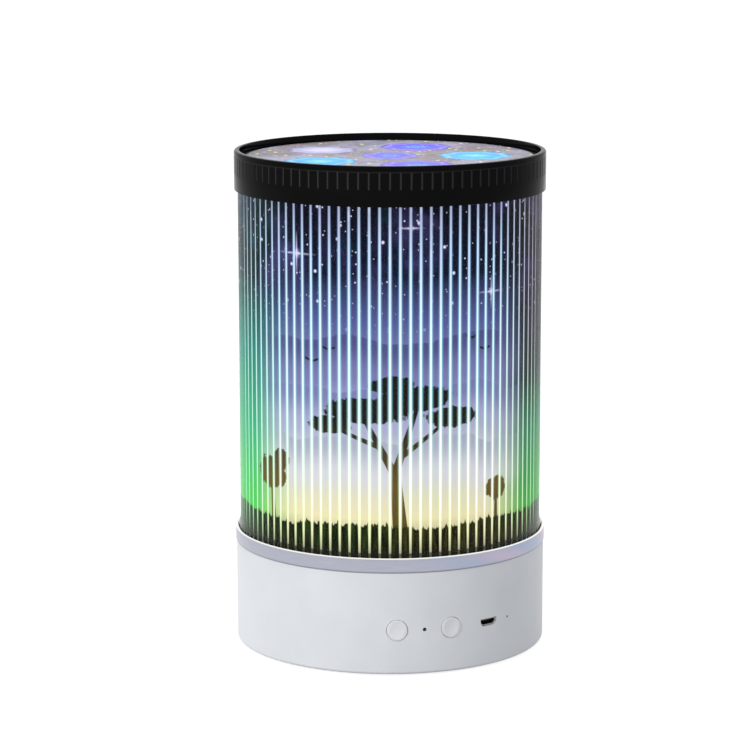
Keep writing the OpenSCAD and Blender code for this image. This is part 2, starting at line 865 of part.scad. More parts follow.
// Three plug-in sockets for the battery, light and motor leads.
module lead_sockets() {
    color([0.93, 0.9, 0.82])
        for (x = [-socket_pitch, 0, socket_pitch])
            translate([x - plug_w / 2, socket_y - plug_t / 2, z_board_top])
                cube([plug_w, plug_t, plug_h]);
}

// ---------- battery ----------

function tray_screw_x() = tray_in_l / 2 + tray_wall + tray_ear / 2;

module battery_tray() {
    outer_l = tray_in_l + 2 * tray_wall;
    outer_w = tray_in_w + 2 * tray_wall;
    color([0.16, 0.16, 0.17])
        difference() {
            union() {
                translate([-outer_l / 2, cell_y - outer_w / 2, z_cover_top])
                    cube([outer_l, outer_w, tray_h]);
                translate([-outer_l / 2 - tray_ear, cell_y - tray_ear / 2, z_cover_top])
                    cube([outer_l + 2 * tray_ear, tray_ear, tray_ear_h]);
            }
            translate([-tray_in_l / 2, cell_y - tray_in_w / 2, z_cover_top + tray_wall])
                cube([tray_in_l, tray_in_w, tray_h]);
            for (x = [-1, 1])
                translate([x * tray_screw_x(), cell_y, z_cover_top - cut])
                    cylinder(h = tray_screw_grip + 0.4 + cut, r = small_screw[0] + screw_gap);
        }
}

module tray_screws() {
    color([0.6, 0.6, 0.62])
        for (x = [-1, 1])
            translate([x * tray_screw_x(), cell_y, z_cover + screw_sink])
                screw(small_screw, cover_t - screw_sink + tray_screw_grip);
}

// Flat contacts between the cell's ends and the tray.
module battery_contacts() {
    color([0.8, 0.78, 0.7])
        for (x = [-1, 1])
            translate([x * contact_x - contact_t / 2, cell_y - contact_w / 2, z_cell - contact_drop])
                cube([contact_t, contact_w, z_contact - z_cell + contact_drop]);
}

module battery_cell() {
    color([0.2, 0.4, 0.65])
        translate([-cell_l / 2, cell_y, z_cell])
            rotate([0, 90, 0])
                cylinder(h = cell_l, r = cell_r);
}

module battery_leads() {
    color([0.75, 0.12, 0.1]) {
        lead(battery_route_a, lead_r);
        lead(battery_route_b, lead_r);
    }
}

// ---------- gear motor ----------

module gearbox() {
    color([0.75, 0.72, 0.6])
        difference() {
            union() {
                translate([-gearbox_size[0] / 2, motor_y - gearbox_size[1] / 2, z_gearbox])
                    cube(gearbox_size);
                translate([0, motor_y, z_under - 0.01])
                    cylinder(h = 1, r = shaft_r + 0.9);
            }
            translate([0, motor_y, z_gearbox + 2])
                cylinder(h = gearbox_size[2] + 4, r = shaft_r + pin_gap);
            for (x = [-motor_screw_x, motor_screw_x])
                translate([x, motor_y, z_under - 3.5])
                    cylinder(h = 3.5 + cut, r = motor_screw[0] + screw_gap);
        }
}

module motor_can() {
    color([0.7, 0.7, 0.72])
        translate([0, motor_y, z_can])
            intersection() {
                cylinder(h = can_h, d = can_d);
                translate([-can_d / 2, -can_flat / 2, 0])
                    cube([can_d, can_flat, can_h]);
            }
}

// White plastic end of the motor, with its two terminals.
module motor_end_cap() {
    color([0.9, 0.9, 0.88])
        translate([0, motor_y, z_can - end_cap_h]) {
            cylinder(h = end_cap_h, d = can_flat - 0.4);
            for (x = [-terminal_x, terminal_x - terminal_w])
                translate([x, -terminal_t / 2, -terminal_h])
                    cube([terminal_w, terminal_t, terminal_h + end_cap_h / 2]);
        }
}

module motor_screws() {
    color([0.6, 0.6, 0.62])
        for (x = [-motor_screw_x, motor_screw_x])
            translate([x, motor_y, z_deck])
                mirror([0, 0, 1])
                    screw(motor_screw, deck_t + 3);
}

module motor_shaft() {
    color([0.75, 0.75, 0.78])
        translate([0, motor_y, z_gearbox + 2.2])
            cylinder(h = z_gear_top + 0.4 - z_gearbox - 2.2, r = shaft_r);
}

module motor_leads() {
    color([0.1, 0.1, 0.1]) {
        lead(motor_route_a, lead_r);
        lead(motor_route_b, lead_r);
    }
}

module pinion() {
    color([0.93, 0.9, 0.82])
        translate([0, motor_y, 0])
            difference() {
                union() {
                    translate([0, 0, z_gear + pinion_margin])
                        linear_extrude(height = gear_width - 2 * pinion_margin)
                            polygon(gear_outline(pinion_teeth, pinion_pitch_r, pinion_root_r,
                                pinion_tip_r, -play));
                    translate([0, 0, z_gear + pinion_margin - hub_h])
                        cylinder(h = hub_h + 1, r = hub_r);
                }
                translate([0, 0, z_gear - hub_h - cut])
                    cylinder(h = gear_width + hub_h + 2 * cut, r = shaft_r + fit_gap);
            }
}

// ---------- rollers ----------

// A flanged wheel that turns about a line pointing out of the lamp.
module roller() {
    translate([0, 0, z_axle])
        difference() {
            union() {
                outward(roller_r, tread_in_r - 0.01, tread_out_r);
                outward(flange_r, roller_in_r, tread_in_r);
            }
            outward(pin_r + pin_gap, roller_in_r - cut, tread_out_r + cut);
        }
}

module roller_1() {
    color([0.9, 0.88, 0.8])
        roller();
}

module roller_2() {
    color([0.9, 0.88, 0.8])
        at_angle(360 / roller_count)
            roller();
}

module roller_3() {
    color([0.9, 0.88, 0.8])
        at_angle(720 / roller_count)
            roller();
}

module roller_pins() {
    color([0.7, 0.7, 0.72])
        for (i = [0:roller_count - 1])
            at_angle(360 * i / roller_count)
                translate([0, 0, z_axle])
                    outward(pin_r, pin_in_r, pin_out_r);
}

// ---------- lamp post and light ----------

module lamp_post() {
    boss_h = light_screw_len + 1.5;
    color([0.92, 0.93, 0.95])
        difference() {
            union() {
                translate([0, 0, z_deck])
                    cylinder(h = post_flange_t, r = post_flange_r);
                translate([0, 0, z_deck])
                    cylinder(h = post_h, r = post_r);
                translate([0, 0, z_post - post_plate_t])
                    cylinder(h = post_plate_t, r = light_board_r);
                for (x = [-1, 1])
                    translate([x * light_screw_r, 0, z_post - boss_h])
                        cylinder(h = boss_h, r = 2.1);
            }
            translate([0, 0, z_deck - cut])
                cylinder(h = post_h + 2 * cut, r = post_bore_r);
            for (a = [60, 180, 300])
                at_angle(a)
                    translate([0, -post_screw_r, z_deck - cut])
                        cylinder(h = post_screw_len - deck_t + cut + 0.2, r = small_screw[0] + screw_gap);
            for (x = [-1, 1])
                translate([x * light_screw_r, 0, z_post - light_screw_len])
                    cylinder(h = light_screw_len + cut, r = small_screw[0] + screw_gap);
        }
}

module post_screws() {
    color([0.6, 0.6, 0.62])
        for (a = [60, 180, 300])
            at_angle(a)
                translate([0, -post_screw_r, z_under])
                    screw(small_screw, post_screw_len - 0.5);
}

module light_board() {
    color([0.9, 0.9, 0.92])
        difference() {
            translate([0, 0, z_post])
                cylinder(h = light_board_t, r = light_board_r);
            for (x = [-1, 1])
                translate([x * light_screw_r, 0, z_post - cut])
                    cylinder(h = light_board_t + 2 * cut, r = small_screw[0] + 0.15);
        }
}

module light_board_screws() {
    color([0.6, 0.6, 0.62])
        for (x = [-1, 1])
            translate([x * light_screw_r, 0, z_light])
                mirror([0, 0, 1])
                    screw(small_screw, light_board_t + light_screw_len - 0.5);
}

// One strong emitter in the middle and coloured ones round it.
module light_emitters() {
    color([0.95, 0.92, 0.7])
        translate([0, 0, z_light]) {
            emitter();
            for (i = [0:emitter_count - 1])
                at_angle(45 + 360 * i / emitter_count)
                    translate([0, -emitter_ring_r, 0])
                        emitter();
        }
}

module emitter() {
    translate([-emitter_w / 2, -emitter_w / 2, 0])
        cube([emitter_w, emitter_w, emitter_h]);
    difference() {
        translate([0, 0, emitter_h])
            sphere(r = emitter_lens_r, $fn = 32);
        translate([0, 0, emitter_h - 0.2 - 2 * emitter_lens_r])
            cylinder(h = 2 * emitter_lens_r, r = 2 * emitter_lens_r);
    }
}

module lens_dome() {
    color([0.85, 0.9, 0.95, 0.5])
        translate([0, 0, z_light])
            rotate_extrude()
                difference() {
                    intersection() {
                        circle(r = dome_r);
                        square(dome_r);
                    }
                    circle(r = dome_r - dome_wall);
                }
}

module light_leads() {
    color([0.85, 0.85, 0.85]) {
        lead(light_route, lead_r);
        mirror([1, 0, 0])
            lead(light_route, lead_r);
    }
}

// ---------- drum ----------

module gear_ring() {
    blank_in_r = ring_tip_r - 1;
    spigot_r = tube_in_r - 0.1;
    color([0.93, 0.93, 0.9])
        difference() {
            rotate_extrude()
                polygon([[blank_in_r, z_gear], [track_in_r, z_gear], [track_in_r, z_track],
                    [drum_r, z_track], [drum_r, z_tube], [spigot_r, z_tube], [spigot_r, z_gear_top],
                    [blank_in_r, z_gear_top]]);
            translate([0, 0, z_gear - cut])
                linear_extrude(height = gear_width + 2 * cut)
                    polygon(gear_outline(ring_teeth, pitch_r, ring_tip_r, ring_root_r, play));
        }
}

module diffuser_tube() {
    color([0.95, 0.96, 0.98, 0.8])
        translate([0, 0, z_tube])
            tube(tube_r, tube_in_r, z_ledge - z_tube);
}

module motion_film() {
    color([0.8, 0.95, 0.9])
        translate([0, 0, z_tube])
            tube(drum_r, drum_r - motion_film_t, z_ledge - z_tube - 0.3);
}

// Hoop that closes the tube's top and carries the star disc on a ledge.
module drum_cap() {
    color([0.06, 0.06, 0.07])
        rotate_extrude()
            polygon([[ledge_in_r, z_ledge], [cap_in_r, z_ledge], [cap_in_r, z_ledge - skirt_h],
                [cap_r, z_ledge - skirt_h], [cap_r, z_disc_top], [disc_seat_r, z_disc_top],
                [disc_seat_r, z_disc], [ledge_in_r, z_disc]]);
}

module star_disc() {
    color([0.6, 0.55, 0.65])
        translate([0, 0, z_disc])
            cylinder(h = disc_t, r = disc_r);
}

// ---------- nodes ----------

base_shell();
bottom_cover();
rubber_feet();
cover_screws();
trim_ring();
clear_sleeve();
picture_film();
top_ring();
main_board();
board_screws();
usb_socket();
usb_tongue();
light_switch();
motion_switch();
status_led();
charge_led();
control_chips();
lead_sockets();
battery_tray();
tray_screws();
battery_contacts();
battery_cell();
battery_leads();
gearbox();
motor_can();
motor_end_cap();
motor_screws();
motor_leads();
roller_pins();
lamp_post();
post_screws();
light_board();
light_board_screws();
light_emitters();
lens_dome();
light_leads();
gear_ring();
diffuser_tube();
motion_film();
drum_cap();
star_disc();
pinion();
motor_shaft();
roller_1();
roller_2();
roller_3();
light_button();
light_plunger();
motion_button();
motion_plunger();
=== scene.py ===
from math import sin, cos, hypot, pi, radians

import bmesh
import bpy
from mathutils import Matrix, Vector


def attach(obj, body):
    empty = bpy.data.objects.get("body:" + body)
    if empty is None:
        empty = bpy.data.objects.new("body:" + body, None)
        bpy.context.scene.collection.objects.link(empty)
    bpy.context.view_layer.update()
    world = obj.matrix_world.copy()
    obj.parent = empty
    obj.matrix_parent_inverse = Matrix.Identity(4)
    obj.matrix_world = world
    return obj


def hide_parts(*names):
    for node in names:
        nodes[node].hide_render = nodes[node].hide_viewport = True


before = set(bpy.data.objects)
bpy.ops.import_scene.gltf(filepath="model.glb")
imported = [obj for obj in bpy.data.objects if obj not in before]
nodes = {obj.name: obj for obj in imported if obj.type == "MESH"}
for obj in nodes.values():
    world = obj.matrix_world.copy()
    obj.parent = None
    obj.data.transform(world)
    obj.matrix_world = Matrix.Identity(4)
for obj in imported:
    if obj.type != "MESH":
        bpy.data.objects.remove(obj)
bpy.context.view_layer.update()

mm = 0.001
front = radians(-22.5)  # the side of the lamp that the camera sees, from -Y towards +X

print("frame loaded,", len(nodes), "nodes")


view = {"lens": 140.72, "distance": 1.17096, "aim": 0.1068, "rise": radians(10.67),
        "shift": -0.02, "near": 0.05, "far": 60}


def makeCamera():
    camera = bpy.data.objects.new("camera", bpy.data.cameras.new("camera"))
    bpy.context.scene.collection.objects.link(camera)
    rise = view["rise"]
    back = Vector((sin(front) * cos(rise), -cos(front) * cos(rise), sin(rise)))
    camera.location = Vector((0, 0, view["aim"])) + back * view["distance"]
    camera.rotation_euler = (-back).to_track_quat("-Z", "Y").to_euler()
    camera.data.lens = view["lens"]
    camera.data.shift_x = view["shift"]
    camera.data.clip_start = view["near"]
    camera.data.clip_end = view["far"]
    bpy.context.scene.camera = camera
    bpy.context.scene.view_settings.view_transform = "Standard"


makeCamera()


def tone(red, green, blue):
    # a colour as a paint program shows it, 0 to 255, made linear
    def straight(c):
        c /= 255
        return c / 12.92 if c <= 0.04045 else ((c + 0.055) / 1.055) ** 2.4
    return (straight(red), straight(green), straight(blue), 1.0)


def shaded(colour, share):
    # the colour with its light multiplied by share
    return tuple(min(1.0, c * share) for c in tone(*colour)[:3]) + (1.0,)


class Wire:
    # one socket of a node tree, so that the maths on it reads as plain Python
    def __init__(self, finish, socket):
        self.finish = finish
        self.socket = socket

    def maths(self, operation, *others):
        values = dict(enumerate([self, *others]))
        return self.finish.node("ShaderNodeMath", {"operation": operation}, values)

    def __add__(self, other):
        return self.maths("ADD", other)

    def __sub__(self, other):
        return self.maths("SUBTRACT", other)

    def __rsub__(self, other):
        return self.finish.node("ShaderNodeMath", {"operation": "SUBTRACT"}, {0: other, 1: self})

    def __mul__(self, other):
        return self.maths("MULTIPLY", other)

    def __truediv__(self, other):
        return self.maths("DIVIDE", other)

    def __pow__(self, other):
        return self.maths("POWER", other)

    def __neg__(self):
        return self.maths("MULTIPLY", -1)

    def __abs__(self):
        return self.maths("ABSOLUTE")

    __radd__ = __add__
    __rmul__ = __mul__

    def atLeast(self, other):
        return self.maths("MAXIMUM", other)

    def atMost(self, other):
        return self.maths("MINIMUM", other)

    def wave(self):
        return self.maths("SINE")

    def along(self, other):
        # length of the vector that has these two sides
        return (self * self + other * other) ** 0.5


class Finish:
    # a material, or the world, with short ways to add nodes to it
    def __init__(self, name, owner=None):
        self.owner = owner or bpy.data.materials.new(name)
        self.owner.use_nodes = True
        self.tree = self.owner.node_tree
        self.tree.nodes.clear()

    def node(self, kind, settings=None, sockets=None, out=0):
        node = self.tree.nodes.new(kind)
        for key, value in (settings or {}).items():
            if key == "stops":
                stops = node.color_ramp.elements
                while len(stops) < len(value):
                    stops.new(1.0)
                for stop, (place, colour) in zip(stops, value):
                    stop.position = place
                    stop.color = colour
            else:
                setattr(node, key, value)
        for key, value in (sockets or {}).items():
            if isinstance(value, Wire):
                self.tree.links.new(value.socket, node.inputs[key])
            else:
                node.inputs[key].default_value = value
        return Wire(self, node.outputs[out]) if len(node.outputs) else node

    def place(self):
        # object coordinates in millimetres, whole and one by one
        coords = self.node("ShaderNodeTexCoord", out="Object")
        at = self.node("ShaderNodeVectorMath", {"operation": "SCALE"}, {0: coords, "Scale": 1 / mm})
        x = self.node("ShaderNodeSeparateXYZ", None, {0: at})
        y, z = (Wire(self, x.socket.node.outputs[i]) for i in (1, 2))
        return at, x, y, z

    def vector(self, x, y, z):
        return self.node("ShaderNodeCombineXYZ", None, {0: x, 1: y, 2: z})

    def noise(self, at, scale, detail=2.0, rough=0.5):
        return self.node("ShaderNodeTexNoise", None,
                         {"Vector": at, "Scale": scale, "Detail": detail, "Roughness": rough})

    def cells(self, at, scale, out="Distance", feature="F1", dims="3D"):
        return self.node("ShaderNodeTexVoronoi", {"voronoi_dimensions": dims, "feature": feature},
                         {"Vector": at, "Scale": scale}, out)

    def step(self, value, low, high):
        # 0 below low and 1 above high, smooth between
        return self.node("ShaderNodeMapRange", {"interpolation_type": "SMOOTHSTEP"},
                         {0: value, 1: low, 2: high})

    def specks(self, flat, scale, size, share, core, spread):
        # round specks in some cells of a flat pattern, fading from their core outwards
        dot = 1 - self.step(self.cells(flat, scale, dims="2D"), size * core, size)
        chance = self.cells(flat, scale, "Color", dims="2D")
        chance = self.node("ShaderNodeSeparateColor", None, {0: chance})
        return dot * self.step(chance, share, share + spread)

    def mix(self, share, first, second):
        return self.node("ShaderNodeMix", {"data_type": "RGBA"}, {0: share, 6: first, 7: second}, 2)

    def ramp(self, value, stops):
        return self.node("ShaderNodeValToRGB", {"stops": stops}, {0: value})

    def heightRamp(self, z, stops):
        # colours by height in millimetres
        low, high = stops[0][0], stops[-1][0]
        return self.ramp((z - low) / (high - low),
                         [((height - low) / (high - low), tone(*c)) for height, c in stops])

    def threeRamps(self, z, ramps, middle, leftness):
        # colours by height in the middle of the view, to its left and to its right
        inFront, left, right = (self.heightRamp(z, ramps[k]) for k in ("middle", "left", "right"))
        return self.mix(middle, self.mix(leftness, right, left), inFront)

    def bump(self, height, depth):
        return self.node("ShaderNodeBump", None, {"Height": height, "Distance": depth * mm})

    def principled(self, **sockets):
        names = {"colour": "Base Color", "rough": "Roughness", "metal": "Metallic",
                 "normal": "Normal", "shine": "Specular IOR Level", "glow": "Emission Color",
                 "glowStrength": "Emission Strength", "coat": "Coat Weight",
                 "coatRough": "Coat Roughness"}
        return self.node("ShaderNodeBsdfPrincipled", None,
                         {names[k]: value for k, value in sockets.items()})

    def done(self, shader):
        isWorld = isinstance(self.owner, bpy.types.World)
        self.node("ShaderNodeOutputWorld" if isWorld else "ShaderNodeOutputMaterial", None,
                  {0: shader})
        return self.owner


studio = {"air": 0.56, "floorRadius": 6.0, "floorPaint": (0.35, 0.37), "floorGlow": 0.84,
          "aim": (0, 0, 0.1),
          # each lamp's place, size, power and colour
          "lamps": [("keyLight", (-1.9, -0.75, 1.1), 1.3, 27.0, (1.0, 1.0, 0.985)),
                    ("fillLight", (0.2, -2.0, 0.9), 1.4, 5.0, (0.96, 0.97, 1.0)),
                    ("topLight", (-0.2, 0.5, 1.7), 1.3, 10.0, (1.0, 1.0, 1.0))]}


def seenDirectly(f):
    # 1 for rays that see the background by themselves, in a reflection or through glass
    path = f.node("ShaderNodeLightPath", out="Is Camera Ray")
    glossy, through = (Wire(f, path.socket.node.outputs[name])
                       for name in ("Is Glossy Ray", "Is Transmission Ray"))
    return path.atLeast(glossy).atLeast(through)


def deselect():
    bpy.ops.object.select_all(action="DESELECT")


def makeStudio():
    world = bpy.context.scene.world or bpy.data.worlds.new("air")
    bpy.context.scene.world = world
    f = Finish("air", world)
    white = f.node("ShaderNodeBackground", None, {"Color": (1, 1, 1, 1), "Strength": 1.0})
    soft = f.node("ShaderNodeBackground", None,
                  {"Color": (0.97, 0.98, 1, 1), "Strength": studio["air"]})
    f.done(f.node("ShaderNodeMixShader", None, {0: seenDirectly(f), 1: soft, 2: white}))

    deselect()
    bpy.ops.mesh.primitive_circle_add(vertices=96, radius=studio["floorRadius"],
                                      fill_type="NGON", location=(0, 0, 0))
    floor = bpy.context.object
    floor.name = "floor"
    f = Finish("floorPaint")
    at, x, y, z = f.place()
    mottle = f.noise(at, 0.02, 3.0)
    paint = f.mix(mottle, *[(c, c, c, 1) for c in studio["floorPaint"]])
    plain = f.node("ShaderNodeBsdfDiffuse", None, {"Color": paint})
    bright = f.node("ShaderNodeEmission", None,
                    {"Color": (1, 1, 1, 1), "Strength": studio["floorGlow"]})
    none = f.node("ShaderNodeEmission", None, {"Strength": 0.0})
    seen = f.node("ShaderNodeMixShader", None, {0: seenDirectly(f), 1: none, 2: bright})
    floor.data.materials.append(f.done(f.node("ShaderNodeAddShader", None, {0: plain, 1: seen})))

    for name, spot, size, power, colour in studio["lamps"]:
        lamp = bpy.data.objects.new(name, bpy.data.lights.new(name, "AREA"))
        lamp.data.shape = "DISK"
        lamp.data.size = size
        lamp.data.energy = power
        lamp.data.color = colour
        lamp.location = spot
        aim = Vector(studio["aim"]) - Vector(spot)
        lamp.rotation_euler = aim.to_track_quat("-Z", "Y").to_euler()
        lamp.visible_glossy = False
        bpy.context.scene.collection.objects.link(lamp)


makeStudio()
print("camera and studio done")


def moulded(name, colour, rough, grain=0.35, depth=0.02, shine=0.5):
    # moulded plastic: a fine grain, slow colour drift and duller patches
    f = Finish(name)
    at, x, y, z = f.place()
    slow = f.noise(at, 0.045, 3.0)
    fine = f.noise(at, 1 / grain, 2.0, 0.6)
    paint = f.mix(f.step(slow, 0.3, 0.7), shaded(colour, 0.94), tone(*colour))
    paint = f.mix(f.step(fine, 0.35, 0.75) * 0.35, paint, shaded(colour, 1.04))
    return f.done(f.principled(colour=paint, rough=slow * 0.12 + (rough - 0.06), shine=shine,
                               normal=f.bump(fine, depth)))


def metal(name, colour, rough, stretch=(1.0, 1.0, 14.0)):
    # metal with fine tool marks, longest where stretch is smallest
    f = Finish(name)
    at, x, y, z = f.place()
    grain = f.vector(x * stretch[0], y * stretch[1], z * stretch[2])
    marks = f.noise(grain, 1.2, 4.0, 0.65)
    stain = f.noise(at, 0.16, 2.0)
    clean = f.step(marks * 0.6 + stain * 0.4, 0.3, 0.7)
    paint = f.mix(clean, shaded(colour, 0.76), tone(*colour))
    return f.done(f.principled(colour=paint, metal=1.0, rough=marks * 0.2 + (rough - 0.1),
                               normal=f.bump(marks, 0.01)))


def socketSteel():
    # plated steel, with painted shade inside the mouth
    f = Finish("socketSteel")
    at, x, y, z = f.place()
    marks = f.noise(f.vector(x, y, z * 6), 1.2, 4.0, 0.65)
    # painted shade: near black and less metallic inside the mouth
    inside = 1 - f.step(x.along(y), 60.5, 60.95)
    plating = f.mix(marks, tone(150, 146, 138), tone(178, 174, 164))
    paint = f.mix(inside, plating, tone(26, 26, 28))
    return f.done(f.principled(colour=paint, metal=1 - inside * 0.7, rough=marks * 0.2 + 0.2,
                               normal=f.bump(marks, 0.01)))


def boardFinish(name, mask, copper):
    # circuit board: lacquer, tracks and pads
    f = Finish(name)
    at, x, y, z = f.place()
    lanes = f.cells(f.vector(x, y, z * 0.2), 0.32, "Distance", "DISTANCE_TO_EDGE")
    track = 1 - f.step(lanes, 0.05, 0.08)
    pads = 1 - f.step(f.cells(f.vector(x, y, 0.0), 0.28), 0.13, 0.16)
    weave = ((x * 5).wave() * (y * 5).wave()) * 0.5 + 0.5
    paint = f.mix(weave * 0.25, tone(*mask), shaded(mask, 0.8))
    paint = f.mix(track * 0.5, paint, shaded(mask, 1.9))
    paint = f.mix(pads, paint, tone(*copper))
    return f.done(f.principled(colour=paint, rough=0.5 - track * 0.15, metal=pads * 0.8,
                               normal=f.bump(track + pads, 0.05)))


def glowing(name, colour, strength):
    f = Finish(name)
    at, x, y, z = f.place()
    cloud = f.noise(at, 0.6, 2.0)
    paint = f.mix(cloud, shaded(colour, 0.9), tone(*colour))
    return f.done(f.principled(colour=paint, rough=cloud * 0.1 + 0.4, glow=paint,
                               glowStrength=strength))


def leadFinish(name, colour):
    f = Finish(name)
    at, x, y, z = f.place()
    skin = f.noise(at, 1.4, 3.0)
    paint = f.mix(skin, shaded(colour, 0.8), tone(*colour))
    return f.done(f.principled(colour=paint, rough=skin * 0.2 + 0.35, normal=f.bump(skin, 0.03)))


# the printed picture: places across and up the film in millimetres, colours by height
picture = {
    "radius": 60.0, "pitch": 3.75, "slit": 0.85, "ground": 58.0, "night": (136, 158),
    "sky": {
        "middle": [(44, (25, 25, 20)), (62, (235, 225, 180)), (84, (210, 210, 210)),
                   (108, (150, 150, 195)), (138, (85, 90, 145)), (156, (15, 20, 40)),
                   (184, (5, 5, 15))],
        "left": [(44, (10, 35, 10)), (60, (70, 200, 75)), (92, (40, 170, 115)),
                 (124, (25, 120, 105)), (150, (0, 35, 35))],
        "right": [(44, (15, 25, 10)), (60, (50, 160, 60)), (90, (35, 115, 80)),
                  (110, (10, 35, 30)), (150, (5, 10, 10))]},
    # clouds of dust in the night sky: the dust's colour and the green one's
    "dust": ((96, 84, 150), (30, 130, 150)),
    # stars: scale of the pattern, size, and the share of cells left empty
    "stars": [(0.36, 0.11, 0.72), (0.16, 0.075, 0.55), (0.075, 0.07, 0.4)],
    "starColour": (226, 228, 255), "flareColour": (224, 222, 255),
    "flares": [(-38, 163, 9.0), (42, 148, 7.0), (8, 174, 5.5)],
    # mountain ridges: height, swing, noise scale, colour below the crest, colour of the crest
    "ridges": [(131, 13, 0.020, (78, 76, 128), (120, 118, 168)),
               (112, 12, 0.028, (120, 122, 168), (170, 168, 202)),
               (93, 10, 0.036, (168, 170, 192), (214, 212, 222))],
    # tree and bushes: clumps of leaves (across, height, half width, half height)
    "clumps": [(-9, 104, 17, 5.2), (10, 109, 15, 5.0), (24, 101, 11, 4.0), (1, 114, 9, 3.6),
               (-24, 98, 9, 3.4), (-52, 76, 8.5, 6.5), (-47, 82, 5, 4), (45, 71, 5.5, 4.5)],
    # and boughs (from, to, half width at each end)
    "boughs": [((4, 57), (2, 80), 2.9, 2.0), ((2, 79), (-11, 103), 1.7, 0.7),
               ((2, 80), (11, 107), 1.7, 0.7), ((4, 86), (24, 101), 1.1, 0.5),
               ((-4, 90), (-24, 98), 1.0, 0.5), ((-51, 57), (-52, 76), 1.3, 0.8),
               ((45, 57), (45, 71), 0.9, 0.6)],
    "birds": [(-31, 122, 3.6), (-24, 127, 2.8), (33, 131, 3.2), (39, 126, 2.6)],
    "shade": [(44, (30, 29, 22)), (54, (26, 30, 14)), (60, (92, 78, 36)), (74, (104, 84, 44)),
              (90, (62, 52, 34)), (100, (30, 27, 24)), (192, (22, 20, 26))],
    # light that creeps out of the slits: how far by height, and its colours
    "creepReach": [(0.03, 0.0), (0.14, 0.55), (0.3, 0.9), (0.66, 0.75), (0.98, 0.35)],
    "creep": {
        "middle": [(46, (90, 110, 40)), (60, (225, 240, 150)), (80, (215, 245, 215)),
                   (110, (150, 225, 240)), (160, (110, 170, 220)), (188, (95, 90, 140))],
        "left": [(46, (40, 90, 35)), (60, (90, 215, 85)), (90, (35, 190, 130)),
                 (120, (25, 165, 145)), (160, (10, 45, 65)), (188, (10, 20, 40))],
        "right": [(46, (45, 55, 30)), (60, (85, 195, 70)), (90, (45, 160, 90)),
                  (116, (15, 60, 50)), (140, (25, 15, 35))]},
}


def bough(u, z, start, end, wide, narrow):
    # how deep a point lies in a tapered stroke
    du, dz = end[0] - start[0], end[1] - start[1]
    span = du * du + dz * dz
    pu, pz = u - start[0], z - start[1]
    share = ((pu * du + pz * dz) / span).atLeast(0.0).atMost(1.0)
    return share * (narrow - wide) + wide - (pu - share * du).along(pz - share * dz)


def nightSky(f, at, seen, u, z, leftness, colour):
    # faint clouds of dust, stars, and a few large stars with rays
    night = f.step(z, *picture["night"])
    dust, green = (tone(*c) for c in picture["dust"])
    colour = f.mix(f.step(f.noise(at, 0.035, 5.0, 0.6), 0.48, 0.8) * night * 0.5, colour, dust)
    cloud = f.step(f.noise(at, 0.05, 4.0), 0.55, 0.8) * night * 0.35 * leftness
    colour = f.mix(cloud, colour, green)
    flat = f.vector(seen * picture["radius"], z, 0.0)
    for scale, size, share in picture["stars"]:
        star = f.specks(flat, scale, size, share, 0.2, 0.1) * f.step(z, 128, 150)
        colour = f.mix(star, colour, tone(*picture["starColour"]))
    for across, height, reach in picture["flares"]:
        du, dz = abs(u - across), abs(z - height)
        ray = (1 - du / reach).atLeast(0.0) * (1 - dz / 0.55).atLeast(0.0)
        ray = ray + (1 - dz / reach).atLeast(0.0) * (1 - du / 0.55).atLeast(0.0)
        ray = ray + (1 - du.along(dz) / (reach * 0.3)).atLeast(0.0) ** 2.0
        colour = f.mix(ray.atMost(1.0) * 0.9, colour, tone(*picture["flareColour"]))
    return colour


def againstTheLight(f, at, u, z):
    # 1 inside the tree, the bushes and the birds
    leaf = f.noise(at, 0.34, 3.0, 0.7)
    shape = None
    for across, height, wide, tall in picture["clumps"]:
        reach = ((u - across) / wide).along((z - height) / tall) + leaf * 0.9 - 0.45
        part = 1 - f.step(reach, 0.93, 1.03)
        shape = part if shape is None else shape.atLeast(part)
    for stroke in picture["boughs"]:
        shape = shape.atLeast(f.step(bough(u, z, *stroke), -0.15, 0.15))
    for across, height, wing in picture["birds"]:
        du = abs(u - across)
        line = abs(z - height - (du / wing).wave() * (wing * 0.42))
        end = 1 - f.step(du, wing * 0.85, wing)
        shape = shape.atLeast((1 - f.step(line, 0.25, 0.6)) * end)
    return shape


